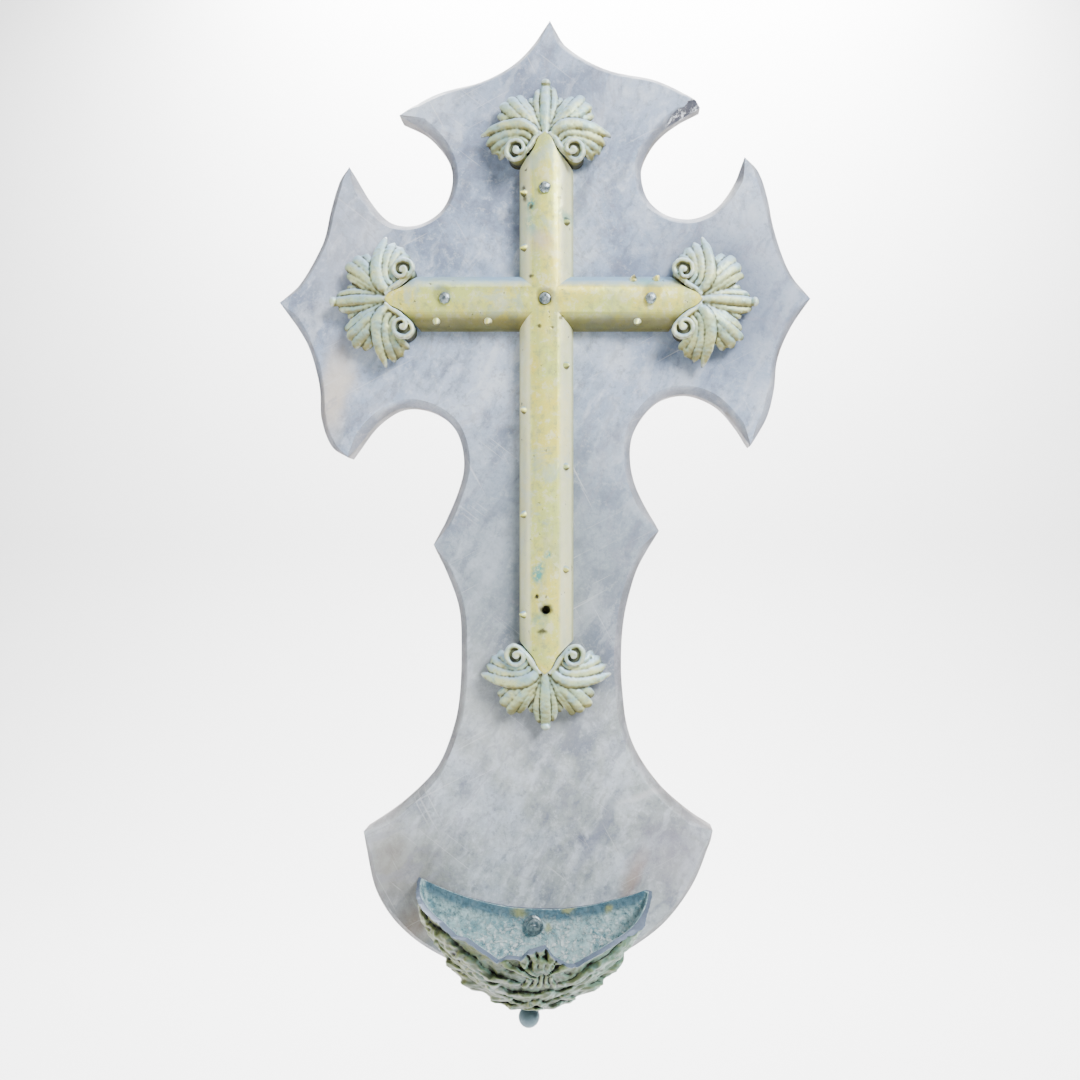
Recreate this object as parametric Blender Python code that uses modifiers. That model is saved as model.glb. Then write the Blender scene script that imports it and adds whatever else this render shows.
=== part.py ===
"""Wall crucifix: a cusped marble plaque carrying a half-round brass cross with four
acanthus finials, and a bronze holy-water font at its foot.

Frame: the origin is on the plaque's flat back, behind the crossing of the cross. +Z is up, +X is to
the viewer's right, and the front faces -Y. Lengths are in metres.
"""
import math

import bmesh
import bpy
from mathutils import Matrix, Vector

# Driving dimensions
SEAM = 0.0003                 # gap between pieces that touch

PLAQUE_HEIGHT = 0.582         # top tip to foot
PLAQUE_THICKNESS = 0.015
PLAQUE_BEVEL_INSET = 0.0042   # sloping arris round the front face, seen from the front
PLAQUE_BEVEL_DEPTH = 0.0060
PLAQUE_BEVEL_FADE = 0.28      # how fast the arris widens away from a cusp
PLAQUE_BEVEL_LEAST = 0.1      # share of the arris left at a cusp

BEAM_WIDTH = 0.0322
BEAM_RISE = 0.0160
BEAM_ROUNDNESS = 0.92         # 1 for an exact half ellipse, less for fuller shoulders
BEAM_FACETS = 12
ARM_REACH_LEFT = 0.1280       # crossing to the tip of each finial
ARM_REACH_RIGHT = 0.1260
HEAD_REACH = 0.1316
FOOT_REACH = 0.2536

FINIAL_LEAF_LENGTH = 0.0340   # point of the beam to the tip of the middle leaf
FINIAL_RISE = 0.0165          # height of the volutes
KNOT_DIAMETER = 0.0046        # stubs of lopped branches along the beams
KNOT_LENGTH = 0.0030
KNOT_TAPER = (1.25, 0.60)     # radius at the root and at the end, as shares

STUD_DIAMETER = 0.0068        # round nails left in the arms and the head
STUD_HEAD_HEIGHT = 0.0024
STUD_SHANK_DIAMETER = 0.0024
STUD_SHANK_LENGTH = 0.0080
STUD_PROFILE = [(0.86, 0.0), (1.0, 0.3), (0.85, 0.75), (0.4, 1.0)]  # shares of the head's radius and height
BOLT_HEAD_DIAMETER = 0.0066   # flat-headed bolt through the crossing
BOLT_HEAD_HEIGHT = 0.0014
BOLT_PROFILE = [(1.0, 0.0), (1.0, 0.6), (0.8, 1.0)]
BOLT_SHANK_DIAMETER = 0.0040
BOLT_GRIP = 0.0080            # how far the bolts reach into the marble
FOOT_HOLE_DIAMETER = 0.0048
FOOT_HOLE_DEPTH = 0.0100

FONT_WIDTH = 0.1405           # horn to horn
FONT_PROJECTION = 0.0700
FONT_DEPTH = 0.0715           # horns to the underside of the bowl
FONT_WALL = 0.0030
FONT_TILT = math.radians(2.5)  # it hangs a little askew, right horn low
FONT_RISE = 0.0645            # plaque's lowest edge to the line between the horns
FONT_OFFSET = -0.0065         # left of the cross's axis
FONT_RELIEF = 0.0034          # how far the leaf tiers stand out
FONT_FLOOR = 1.9              # thickness of the bowl's floor, in walls
PENDANT_DIAMETER = 0.0126
PENDANT_OUT = 1.15            # the ball's centre in front of the marble, in its radii
PENDANT_DOWN = 0.85           # the ball's centre below the bowl, in its radii
NUT_DIAMETER = 0.0118         # fixing nut inside the bowl
NUT_HEIGHT = 0.0046
NUT_DROP = 0.0245             # horn line to the nut
NUT_PROFILE = [(1.0, 0.0), (1.0, 0.22), (0.68, 0.26), (0.66, 0.8), (0.34, 0.82), (0.30, 1.0)]

# The plaque's outline, in millimetres on a plaque 582 mm high. Each row runs clockwise from a cusp
# along the points that its curved edge passes through, up to the next row's cusp.
OUTLINE_DRAWN_HEIGHT = 582.0
OUTLINE = [
    [(2, 171), (12, 157.5), (36, 144), (66, 137.5), (83, 129.5)],
    [(92.5, 121), (79, 113.5), (64.5, 101), (57, 84), (60.5, 66), (72, 56), (87, 53.5), (101, 59),
     (113, 74.5)],
    [(119, 89), (128, 81.5), (133.5, 66), (137.5, 47), (145, 25)],
    [(158.5, 4), (147, -13), (139.5, -32), (137.5, -50), (132, -69)],
    [(122.4, -84.3), (114, -72), (101, -58.5), (84, -52.5), (66, -57.5), (53, -74), (50.2, -92), (54, -109)],
    [(67.5, -135.5), (54, -160), (46, -193), (45.3, -228), (51, -263), (68, -290), (87, -307)],
    [(99.7, -315.5), (98, -325), (88, -350), (67.5, -376), (35, -397), (-5, -411), (-45, -401.5),
     (-80, -383), (-101, -359), (-108.5, -333)],
    [(-110, -316), (-90, -302), (-67, -279), (-55, -248), (-51.8, -212), (-54, -180)],
    [(-68, -143.7), (-55.5, -116), (-50.2, -95), (-55, -75), (-69, -63.5), (-86, -61), (-103, -70.5)],
    [(-119.3, -91.5), (-130, -85), (-136.5, -68), (-138, -48), (-144.5, -24)],
    [(-160.3, 1.5), (-147, 18), (-136, 38.5), (-130.5, 60), (-125.5, 75)],
    [(-118.5, 83.1), (-108, 65.5), (-94, 51), (-79, 50), (-64, 59), (-57.3, 76), (-61.5, 92.5), (-73, 106)],
    [(-88.5, 114), (-80, 122), (-64, 130), (-40, 136.7), (-20, 147.5)],
]
OUTLINE_STEPS = 2             # facets between neighbouring points

# Corner of the top right lobe that has broken off, as shares of the plaque's height
CHIP_CENTRE = (0.1667, 0.2002)
CHIP_RADIUS = 0.0150
CHIP_BITE = 0.0062            # how deep the break runs behind the front face
CHIP_HEIGHT = 0.62            # its height over its width

# Places along each bar, as shares of the way from the crossing to the point of the bar
UPRIGHT_KNOTS = [(0.646, -1), (0.317, -1), (0.474, 1), (-0.175, 1), (-0.295, -1), (-0.446, 1),
                 (-0.574, -1), (-0.721, 1), (-0.843, -1)]
CROSSBAR_KNOTS = [(-0.682, -1), (-0.359, -1), (0.588, -1), (0.562, 1), (0.709, 1)]
KNOT_ANGLE = math.radians(42)  # above the marble, seen along the bar
HEAD_STUD_SHARE = 0.663
LEFT_STUD_SHARE = 0.620
RIGHT_STUD_SHARE = 0.673
FOOT_HOLE_SHARE = 0.829

# Half-width of the bar's ogee point against the distance back from it, as shares of the bar's width
OGEE_POINT = [(0.0, 0.0), (0.09, 0.105), (0.19, 0.155), (0.31, 0.215), (0.42, 0.315), (0.52, 0.42),
              (0.63, 0.55)]

# Finial leaflets, in millimetres on a leaf 34 mm long: base, bend, tip (outward, sideways), half-width,
# height at the base and height at the tip. All but the first have a mirror twin.
LEAF_DRAWN_LENGTH = 34.0
LEAF_DRAWN_RISE = 16.5
LEAFLETS = [
    [(-1, 0), (16, 0), (34, 0), 4.6, 14.5, 5.0],
    [(5, 1), (15, 4), (27.5, 9), 3.4, 12.0, 4.0],
    [(1, 3), (14, 7), (25, 14.5), 3.8, 13.5, 5.0],
    [(1, 4), (12, 13), (23.5, 23.5), 4.2, 13.5, 6.0],
    [(-1, 5), (6, 16), (12, 28.5), 4.0, 13.0, 5.5],
    [(3, 4), (9, 24), (-1.5, 40), 4.0, 15.0, 7.5],
    [(-1, 11), (1, 25), (-10.5, 33.5), 3.6, 15.0, 6.0],
    [(-4, 15), (-5, 25), (-15.5, 28), 3.2, 14.0, 5.0],
    [(4, 3), (-6, 7), (-15, 12), 2.2, 14.5, 14.0],
]
LEAFLET_STATIONS = 10
LEAFLET_END_SHARE = 0.97      # the tip is blunted just short of the curve's end
LEAFLET_WIDEST_SHARE = 0.45   # where it is widest
LEAFLET_ROOT_SHARE = 0.62     # width at the base over the greatest
LEAFLET_BLUNTNESS = 0.7       # 1 for a straight taper to the tip, less for a rounder one
LEAFLET_ARCH_SHARE = 0.10     # how far it bows up, over its height at the base
# Across the leaflet, and drop from its ridge
LEAFLET_SECTION = [(-1.0, 0.42), (-0.55, 0.12), (0.0, 0.0), (0.55, 0.12), (1.0, 0.42)]
FINIAL_TRIM = 0.0015          # the pattern runs this far below its back before the back is cut flat
FINIAL_GRAIN = 0.55           # fineness at which the pattern's pieces are fused
FINIAL_THINNING = 0.0115      # share of the fused facets that is kept
CORE_CENTRE = 5.0
CORE_RADIUS = 8.2
CORE_RISE = 13.0
VOLUTE_CENTRE = (-11.0, 15.6)
VOLUTE_RADIUS = 6.9
VOLUTE_TAPER = 0.86
VOLUTE_EYE_RADIUS = 3.2
VOLUTE_EYE_RISE = 1.12        # eye height over the volute's

# Font rim, as shares of the bowl's depth. Scallops: degrees from the left horn, spread in degrees, drop
RIM_SAG = 0.215
RIM_SAG_SPREAD = 1.5
RIM_FADE = 5.0                # how fast the scallops come in from the horns
RIM_SCALLOPS = [(54, 4, 0.03), (61, 4, -0.03), (76, 6, 0.10), (97, 5, -0.085), (117, 11, 0.14),
                (150, 13, 0.09)]
FONT_ARC_STEPS = 44
FONT_LEVELS = 12
FONT_INNER_LEVELS = 6
FONT_BACK_STEPS = 8
LEAF_TIERS = 3
TIER_LEAVES = 9
TIER_LEAST = 0.2              # relief at the root of a tier, as a share of that at its lip
LEAF_LEAST = 0.45             # relief between two leaves, as a share of that on a leaf
RELIEF_FADE = (3.0, 8.0, 6.0)  # how fast it comes in from the marble, the rim and the underside
FONT_TIP_SHARE = 0.12         # half-width at the underside over that at the horns
FONT_CURVE = (1.6, 0.9)       # exponents of the bowl's profile
SLOPE_STEP = 0.01             # share of the depth over which the bowl's slope is measured
SMOOTH_ANGLE = math.radians(35)

FRONT = PLAQUE_THICKNESS + SEAM   # where the metalwork's flat backs stand, in front of the origin


def new_collection(name):
    """A collection under the scene's own."""
    collection = bpy.data.collections.new(name)
    bpy.context.scene.collection.children.link(collection)
    return collection


def material(name, colour, roughness, metallic):
    """A Principled BSDF material."""
    made = bpy.data.materials.new(name)
    made.use_nodes = True
    shader = made.node_tree.nodes["Principled BSDF"]
    shader.inputs["Base Color"].default_value = (*colour, 1.0)
    shader.inputs["Roughness"].default_value = roughness
    shader.inputs["Metallic"].default_value = metallic
    return made


def object_from(name, bm, collection):
    """Closes a bmesh into an object with its faces pointing out."""
    bmesh.ops.recalc_face_normals(bm, faces=bm.faces)
    mesh = bpy.data.meshes.new(name)
    bm.to_mesh(mesh)
    bm.free()
    made = bpy.data.objects.new(name, mesh)
    collection.objects.link(made)
    return made


def hide_cutter(cutter):
    """Marks an object that only shapes others."""
    cutter.hide_render = True
    cutter.display_type = "WIRE"
    return cutter


def add_boolean(target, operation):
    """Adds an exact Boolean, on triangles, which stay flat where large faces may not."""
    target.modifiers.new("facets", "TRIANGULATE")
    modifier = target.modifiers.new(operation.lower(), "BOOLEAN")
    modifier.operation = operation
    modifier.solver = "EXACT"
    return modifier


def combine(target, other, operation):
    """Joins or cuts with another object."""
    add_boolean(target, operation).object = hide_cutter(other)


def combine_all(target, others, operation):
    """Joins or cuts with everything in a collection at once."""
    modifier = add_boolean(target, operation)
    modifier.operand_type = "COLLECTION"
    modifier.collection = others
    for other in others.objects:
        hide_cutter(other)


def inner_collection(name, parent):
    """A collection inside another."""
    collection = bpy.data.collections.new(name)
    parent.children.link(collection)
    return collection


def evaluated_mesh(thing, name):
    """A new mesh: the object with its modifiers applied."""
    graph = bpy.context.evaluated_depsgraph_get()
    mesh = bpy.data.meshes.new_from_object(thing.evaluated_get(graph))
    mesh.name = name
    return mesh


def loft(bm, rings):
    """Skins rings that have equal counts of points, and caps both ends."""
    rows = [[bm.verts.new(point) for point in ring] for ring in rings]
    count = len(rows[0])
    for low, high in zip(rows, rows[1:]):
        for i in range(count):
            j = (i + 1) % count
            bm.faces.new((low[i], low[j], high[j], high[i]))
    bm.faces.new(rows[0][::-1])
    bm.faces.new(rows[-1])
    return rows


def cylinder(name, radius, low_y, high_y, centre_x, centre_z, collection, sides=20):
    """A rod along Y."""
    bm = bmesh.new()
    turn = Matrix.Rotation(math.pi / 2, 4, "X")
    place = Matrix.Translation((centre_x, (low_y + high_y) / 2, centre_z)) @ turn
    bmesh.ops.create_cone(bm, cap_ends=True, segments=sides, radius1=radius, radius2=radius,
                          depth=abs(high_y - low_y), matrix=place)
    return object_from(name, bm, collection)


def through_points(points, steps):
    """A smooth open curve through points, without its last point."""
    padded = [2 * points[0] - points[1]] + points + [2 * points[-1] - points[-2]]
    curve = []
    for a, b, c, d in zip(padded, padded[1:], padded[2:], padded[3:]):
        knots = [0.0]
        for start, end in ((a, b), (b, c), (c, d)):
            knots.append(knots[-1] + math.sqrt((end - start).length))
        for step in range(steps):
            t = knots[1] + (knots[2] - knots[1]) * step / steps
            level = [a, b, c, d]
            spans = [(0, 1), (1, 2), (2, 3)]
            first = [between(level[i], level[i + 1], knots[i], knots[i + 1], t) for i, _ in spans]
            second = [between(first[i], first[i + 1], knots[i], knots[i + 2], t) for i in range(2)]
            curve.append(between(second[0], second[1], knots[1], knots[2], t))
    return curve


def between(start, end, low, high, value):
    """Linear blend of two points over a range."""
    return start + (end - start) * ((value - low) / (high - low))


def plaque_outline():
    """The outline's points, and each one's distance along it to the nearest cusp."""
    scale = PLAQUE_HEIGHT / OUTLINE_DRAWN_HEIGHT
    points = []
    reaches = []
    for row, following in zip(OUTLINE, OUTLINE[1:] + OUTLINE[:1]):
        knots = [Vector(point) * scale for point in row + following[:1]]
        stretch = through_points(knots, OUTLINE_STEPS)
        ends = stretch + [knots[-1]]
        lengths = [0.0]
        for a, b in zip(ends, ends[1:]):
            lengths.append(lengths[-1] + (b - a).length)
        points += stretch
        reaches += [min(length, lengths[-1] - length) for length in lengths[:-1]]
    return points, reaches


def inward_offset(points, amounts):
    """Moves each point of a clockwise outline inwards."""
    moved = []
    count = len(points)
    for i, point in enumerate(points):
        along = (points[(i + 1) % count] - points[i - 1]).normalized()
        moved.append(point + Vector((along.y, -along.x)) * amounts[i])
    return moved


def make_plaque(collection, cutters):
    """The marble slab: a sawn back, a straight edge and a sloping front arris that fades at the cusps."""
    outline, reaches = plaque_outline()
    least = PLAQUE_BEVEL_LEAST * PLAQUE_BEVEL_INSET
    insets = [min(PLAQUE_BEVEL_INSET, PLAQUE_BEVEL_FADE * reach + least) for reach in reaches]
    depths = [inset * PLAQUE_BEVEL_DEPTH / PLAQUE_BEVEL_INSET for inset in insets]
    face = inward_offset(outline, insets)
    bm = bmesh.new()
    loft(bm, [
        [Vector((p.x, 0.0, p.y)) for p in outline],
        [Vector((p.x, depth - PLAQUE_THICKNESS, p.y)) for p, depth in zip(outline, depths)],
        [Vector((p.x, -PLAQUE_THICKNESS, p.y)) for p in face],
    ])
    plaque = object_from("marble_plaque", bm, collection)

    chip = bmesh.new()
    bmesh.ops.create_icosphere(chip, subdivisions=2, radius=CHIP_RADIUS)
    flat = CHIP_BITE / CHIP_RADIUS
    centre = Vector((CHIP_CENTRE[0] * PLAQUE_HEIGHT, -PLAQUE_THICKNESS, CHIP_CENTRE[1] * PLAQUE_HEIGHT))
    squash = Matrix.Diagonal((1.0, flat, CHIP_HEIGHT, 1.0))
    bmesh.ops.transform(chip, matrix=Matrix.Translation(centre) @ squash, verts=chip.verts)
    combine(plaque, object_from("chip_cutter", chip, cutters), "DIFFERENCE")
    return plaque


def bar_section(width, rise):
    """Half-round section from one foot over the crown to the other: (across, height)."""
    points = []
    for step in range(BEAM_FACETS + 1):
        angle = math.pi * step / BEAM_FACETS
        across = math.copysign(abs(math.cos(angle)) ** BEAM_ROUNDNESS, math.cos(angle))
        points.append((across * width / 2, math.sin(angle) ** BEAM_ROUNDNESS * rise))
    return points


def bar(name, low, high, margin, collection):
    """A half-round bar along local X with an ogee point at each end, its flat side at height zero."""
    reach = BEAM_WIDTH
    section = bar_section(BEAM_WIDTH + 2 * margin, BEAM_RISE + margin)
    bm = bmesh.new()
    loft(bm, [[Vector((x, across, max(height, 0.0) - margin)) for across, height in section]
              for x in (low - reach, high + reach)])
    body = object_from(name, bm, collection)

    edge = [(back * BEAM_WIDTH, half * BEAM_WIDTH + margin) for back, half in OGEE_POINT[1:]]
    right = [(high + margin - back, half) for back, half in edge]
    left = [(low - margin + back, half) for back, half in edge]
    upper = [(high + 2 * margin, 0.0)] + right + left[::-1] + [(low - 2 * margin, 0.0)]
    ring = upper + [(x, -half) for x, half in upper[-2:0:-1]]
    bm = bmesh.new()
    loft(bm, [[Vector((x, across, height)) for x, across in ring] for height in (-reach, reach)])
    combine(body, object_from(name + "_ogee", bm, collection), "INTERSECT")
    return body


def knot(name, along, side, collection, place):
    """A short tapered stub standing out of a bar's flank."""
    radius = KNOT_DIAMETER / 2
    half = BEAM_WIDTH / 2
    direction = Vector((0.0, side * math.cos(KNOT_ANGLE), math.sin(KNOT_ANGLE)))
    surface = Vector((along, side * half * math.cos(KNOT_ANGLE), BEAM_RISE * math.sin(KNOT_ANGLE)))
    bm = bmesh.new()
    turn = direction.to_track_quat("Z", "Y").to_matrix().to_4x4()
    root, end = KNOT_TAPER
    bmesh.ops.create_cone(bm, cap_ends=True, segments=8, radius1=radius * root, radius2=radius * end,
                          depth=2 * KNOT_LENGTH, matrix=place @ Matrix.Translation(surface) @ turn)
    return object_from(name, bm, collection)


def bar_point(reach):
    """Crossing to the point of a bar, from the crossing to the finial's tip."""
    return reach - FINIAL_LEAF_LENGTH


def share_along(share, low_reach, high_reach):
    """A place along a bar from a share: positive towards the high end."""
    return share * bar_point(high_reach if share > 0 else low_reach)


def make_cross(collection, cutters):
    """Upright and crossbar in one casting, mitred where the half rounds meet, with knots and fixing holes."""
    lying = Matrix.Translation((0.0, -FRONT, 0.0)) @ Matrix.Rotation(math.pi / 2, 4, "X")
    standing = lying @ Matrix.Rotation(math.pi / 2, 4, "Z")
    upright = bar("upright", -bar_point(FOOT_REACH), bar_point(HEAD_REACH), 0.0, cutters)
    crossbar = bar("crossbar", -bar_point(ARM_REACH_LEFT), bar_point(ARM_REACH_RIGHT), 0.0, cutters)
    bpy.context.view_layer.update()
    mesh = evaluated_mesh(upright, "brass_cross")
    mesh.transform(standing)
    cross = bpy.data.objects.new("brass_cross", mesh)
    collection.objects.link(cross)

    added = inner_collection("cross_additions", cutters)
    crossbar_mesh = evaluated_mesh(crossbar, "crossbar_solid")
    crossbar_mesh.transform(lying)
    added.objects.link(bpy.data.objects.new("crossbar_solid", crossbar_mesh))
    for i, (share, side) in enumerate(UPRIGHT_KNOTS):
        along = share_along(share, FOOT_REACH, HEAD_REACH)
        knot(f"upright_knot_{i}", along, -side, added, standing)
    for i, (share, side) in enumerate(CROSSBAR_KNOTS):
        along = share_along(share, ARM_REACH_LEFT, ARM_REACH_RIGHT)
        knot(f"crossbar_knot_{i}", along, side, added, lying)
    combine_all(cross, added, "UNION")

    bores = inner_collection("cross_bores", cutters)
    crown = -FRONT - BEAM_RISE
    for i, (x, z) in enumerate(stud_places()):
        cylinder(f"stud_bore_{i}", STUD_SHANK_DIAMETER / 2 + SEAM, crown - STUD_SHANK_LENGTH,
                 crown + STUD_SHANK_LENGTH + SEAM, x, z, bores, sides=12)
    cylinder("bolt_bore", BOLT_SHANK_DIAMETER / 2 + SEAM, crown - BEAM_RISE, BEAM_RISE, 0.0, 0.0, bores,
             sides=12)
    foot_hole_z = share_along(-FOOT_HOLE_SHARE, FOOT_REACH, HEAD_REACH)
    cylinder("foot_hole", FOOT_HOLE_DIAMETER / 2, crown - BEAM_RISE, crown + FOOT_HOLE_DEPTH, 0.0,
             foot_hole_z, bores, sides=12)
    combine_all(cross, bores, "DIFFERENCE")
    for shaper in (upright, crossbar):
        hide_cutter(shaper)
    return cross


def stud_places():
    """Where the three nails stand, in X and Z."""
    return [(0.0, share_along(HEAD_STUD_SHARE, FOOT_REACH, HEAD_REACH)),
            (share_along(-LEFT_STUD_SHARE, ARM_REACH_LEFT, ARM_REACH_RIGHT), 0.0),
            (share_along(RIGHT_STUD_SHARE, ARM_REACH_LEFT, ARM_REACH_RIGHT), 0.0)]


def turned(name, profile, collection, x, z, seat_y, sides=20):
    """A nail or bolt turned about Y from (radius, height in front of its seat) pairs."""
    bm = bmesh.new()
    rings = []
    for radius, height in profile:
        rings.append([Vector((x + radius * math.cos(2 * math.pi * i / sides), seat_y - height,
                              z + radius * math.sin(2 * math.pi * i / sides))) for i in range(sides)])
    loft(bm, rings)
    return object_from(name, bm, collection)


def make_studs(collection):
    """Dome-headed nails standing on the crowns of the arms and the head."""
    studs = []
    radius = STUD_DIAMETER / 2
    shank = STUD_SHANK_DIAMETER / 2
    profile = [(shank, -STUD_SHANK_LENGTH), (shank, 0.0)]
    profile += [(radius * across, STUD_HEAD_HEIGHT * up) for across, up in STUD_PROFILE]
    for name, (x, z) in zip(("head_stud", "left_stud", "right_stud"), stud_places()):
        studs.append(turned(name, profile, collection, x, z, -FRONT - BEAM_RISE - SEAM))
    return studs


def make_bolt(collection):
    """The bolt that holds the cross to the marble."""
    radius = BOLT_HEAD_DIAMETER / 2
    shank = BOLT_SHANK_DIAMETER / 2
    profile = [(shank, -SEAM - BEAM_RISE - SEAM - BOLT_GRIP), (shank, 0.0)]
    profile += [(radius * across, BOLT_HEAD_HEIGHT * up) for across, up in BOLT_PROFILE]
    return turned("centre_bolt", profile, collection, 0.0, 0.0, -FRONT - BEAM_RISE - SEAM)


def leaflet(bm, base, bend, tip, half_width, base_height, tip_height):
    """One pointed leaflet of the finial: a ridged, arched blade that narrows to its tip."""
    rings = []
    for step in range(LEAFLET_STATIONS + 1):
        t = LEAFLET_END_SHARE * step / LEAFLET_STATIONS
        centre = base * (1 - t) ** 2 + bend * 2 * t * (1 - t) + tip * t ** 2
        along = ((bend - base) * (1 - t) + (tip - bend) * t).normalized()
        side = Vector((-along.y, along.x))
        swelling = math.sin(math.pi / 2 * min(1.0, t / LEAFLET_WIDEST_SHARE))
        swell = LEAFLET_ROOT_SHARE + (1.0 - LEAFLET_ROOT_SHARE) * swelling
        past = max(0.0, (t - LEAFLET_WIDEST_SHARE) / (1.0 - LEAFLET_WIDEST_SHARE))
        width = half_width * swell * (1.0 - past) ** LEAFLET_BLUNTNESS
        arch = LEAFLET_ARCH_SHARE * base_height * math.sin(math.pi * t)
        crown = base_height + (tip_height - base_height) * t + arch
        ring = []
        for across, drop in LEAFLET_SECTION:
            place = centre + side * across * width
            ring.append(Vector((place.x, place.y, crown * (1 - drop))))
        for across in (1.0, -1.0):
            place = centre + side * across * width
            ring.append(Vector((place.x, place.y, -FINIAL_TRIM)))
        rings.append(ring)
    loft(bm, rings)


def finial_mesh(cutters):
    """The finial casting: leaflets and two volutes round the point of a bar, its back at height zero."""
    unit = FINIAL_LEAF_LENGTH / LEAF_DRAWN_LENGTH
    lift = FINIAL_RISE / LEAF_DRAWN_RISE
    bm = bmesh.new()
    core = Matrix.Translation((CORE_CENTRE * unit, 0.0, 0.0)) @ Matrix.Diagonal(
        (CORE_RADIUS * unit, CORE_RADIUS * unit, CORE_RISE * lift, 1.0))
    bmesh.ops.create_uvsphere(bm, u_segments=16, v_segments=8, radius=1.0, matrix=core)
    for base, bend, tip, half_width, base_height, tip_height in LEAFLETS:
        for side in ((1,) if tip[1] == 0 else (1, -1)):
            points = [Vector((p[0], p[1] * side)) * unit for p in (base, bend, tip)]
            leaflet(bm, *points, half_width * unit, base_height * lift, tip_height * lift)
    rolls = ((VOLUTE_RADIUS, FINIAL_RISE), (VOLUTE_EYE_RADIUS, FINIAL_RISE * VOLUTE_EYE_RISE))
    for side in (1, -1):
        x = VOLUTE_CENTRE[0] * unit
        y = VOLUTE_CENTRE[1] * unit * side
        for radius, top in rolls:
            bmesh.ops.create_cone(bm, cap_ends=True, segments=20, radius1=radius * unit,
                                  radius2=radius * VOLUTE_TAPER * unit, depth=top + FINIAL_TRIM,
                                  matrix=Matrix.Translation((x, y, (top - FINIAL_TRIM) / 2)))
    finial = object_from("finial_pattern", bm, cutters)
    fuse = finial.modifiers.new("fuse", "REMESH")
    fuse.mode = "VOXEL"
    fuse.voxel_size = FINIAL_GRAIN * unit
    finial.modifiers.new("thin", "DECIMATE").ratio = FINIAL_THINNING

    reach = 4 * FINIAL_LEAF_LENGTH
    slab = bmesh.new()
    bmesh.ops.create_cube(slab, size=reach, matrix=Matrix.Translation((0.0, 0.0, -reach / 2)))
    combine(finial, object_from("finial_back_cut", slab, cutters), "DIFFERENCE")
    combine(finial, bar("finial_socket", -reach, 0.0, SEAM, cutters), "DIFFERENCE")
    bpy.context.view_layer.update()
    mesh = evaluated_mesh(finial, "finial")
    hide_cutter(finial)
    return mesh


def make_finials(collection, cutters):
    """Four castings from one pattern, pointing outwards."""
    mesh = finial_mesh(cutters)
    lying = Matrix.Rotation(math.pi / 2, 4, "X")
    ends = {
        "right_finial": (bar_point(ARM_REACH_RIGHT), 0.0, 0.0),
        "head_finial": (0.0, bar_point(HEAD_REACH), 90.0),
        "left_finial": (-bar_point(ARM_REACH_LEFT), 0.0, 180.0),
        "foot_finial": (0.0, -bar_point(FOOT_REACH), 270.0),
    }
    finials = []
    for name, (x, z, angle) in ends.items():
        finial = bpy.data.objects.new(name, mesh)
        finial.matrix_world = (Matrix.Translation((x, -FRONT, z)) @ lying
                               @ Matrix.Rotation(math.radians(angle), 4, "Z"))
        collection.objects.link(finial)
        finials.append(finial)
    return finials


def font_place(across, out, down):
    """A point of the font in world axes: across from its middle, out from the marble, down from the horns."""
    lowest = min(point[1] for row in OUTLINE for point in row) * PLAQUE_HEIGHT / OUTLINE_DRAWN_HEIGHT
    x = FONT_OFFSET + across * math.cos(FONT_TILT) - down * math.sin(FONT_TILT)
    z = lowest + FONT_RISE - across * math.sin(FONT_TILT) - down * math.cos(FONT_TILT)
    return Vector((x, -FRONT - out, z))


def bowl_shape(share):
    """How the bowl narrows with depth: 1 at the horns, FONT_TIP_SHARE at the underside."""
    narrowing, fullness = FONT_CURVE
    left = max(0.0, 1.0 - max(0.0, share) ** narrowing)
    return FONT_TIP_SHARE + (1.0 - FONT_TIP_SHARE) * left ** fullness


def rim_down(angle):
    """Depth of the scalloped rim below the horns, round from the left horn."""
    height = max(0.0, math.sin(angle))
    share = RIM_SAG * height ** RIM_SAG_SPREAD
    fade = min(1.0, RIM_FADE * height)
    for centre, spread, drop in RIM_SCALLOPS:
        share += fade * drop * math.exp(-((math.degrees(angle) - centre) / spread) ** 2)
    return share * FONT_DEPTH


def leaf_relief(angle, share):
    """Height of the overlapping leaf tiers on the bowl's outside."""
    tier = share * LEAF_TIERS
    lip = TIER_LEAST + (1.0 - TIER_LEAST) * (tier - math.floor(tier))
    shift = math.pi / 2 * (math.floor(tier) % 2)
    leaf = LEAF_LEAST + (1.0 - LEAF_LEAST) * abs(math.cos(TIER_LEAVES * angle / 2 + shift))
    marble, rim, underside = RELIEF_FADE
    edge = min(1.0, marble * math.sin(angle), rim * share, underside * (1.0 - share))
    return FONT_RELIEF * lip * leaf * max(0.0, edge)


def bowl_ring(share, floor, wall):
    """One loop of the bowl: the half-round front, then back along the flat rear. wall is 0 outside."""
    half = FONT_WIDTH / 2
    front = FONT_PROJECTION / bowl_shape(RIM_SAG)
    ring = []
    for step in range(FONT_ARC_STEPS + 1):
        angle = math.pi * step / FONT_ARC_STEPS
        top = rim_down(angle)
        down = top + (floor - top) * share
        swell = bowl_shape(down / FONT_DEPTH)
        drop = half * (bowl_shape(down / FONT_DEPTH - SLOPE_STEP) - swell)
        inward = wall * math.hypot(1.0, drop / (SLOPE_STEP * FONT_DEPTH))
        raised = 0.0 if wall else leaf_relief(angle, share)
        across = -(half * swell - inward + raised) * math.cos(angle)
        out = wall + (front * swell - inward - wall + raised) * math.sin(angle)
        ring.append((across, out, down))
    start = ring[-1][0]
    end = ring[0][0]
    for step in range(1, FONT_BACK_STEPS):
        part = step / FONT_BACK_STEPS
        sag = RIM_SAG * FONT_DEPTH * (1 - (2 * part - 1) ** 2)
        ring.append((start + (end - start) * part, wall, sag + (floor - sag) * share))
    return [font_place(*point) for point in ring]


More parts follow.
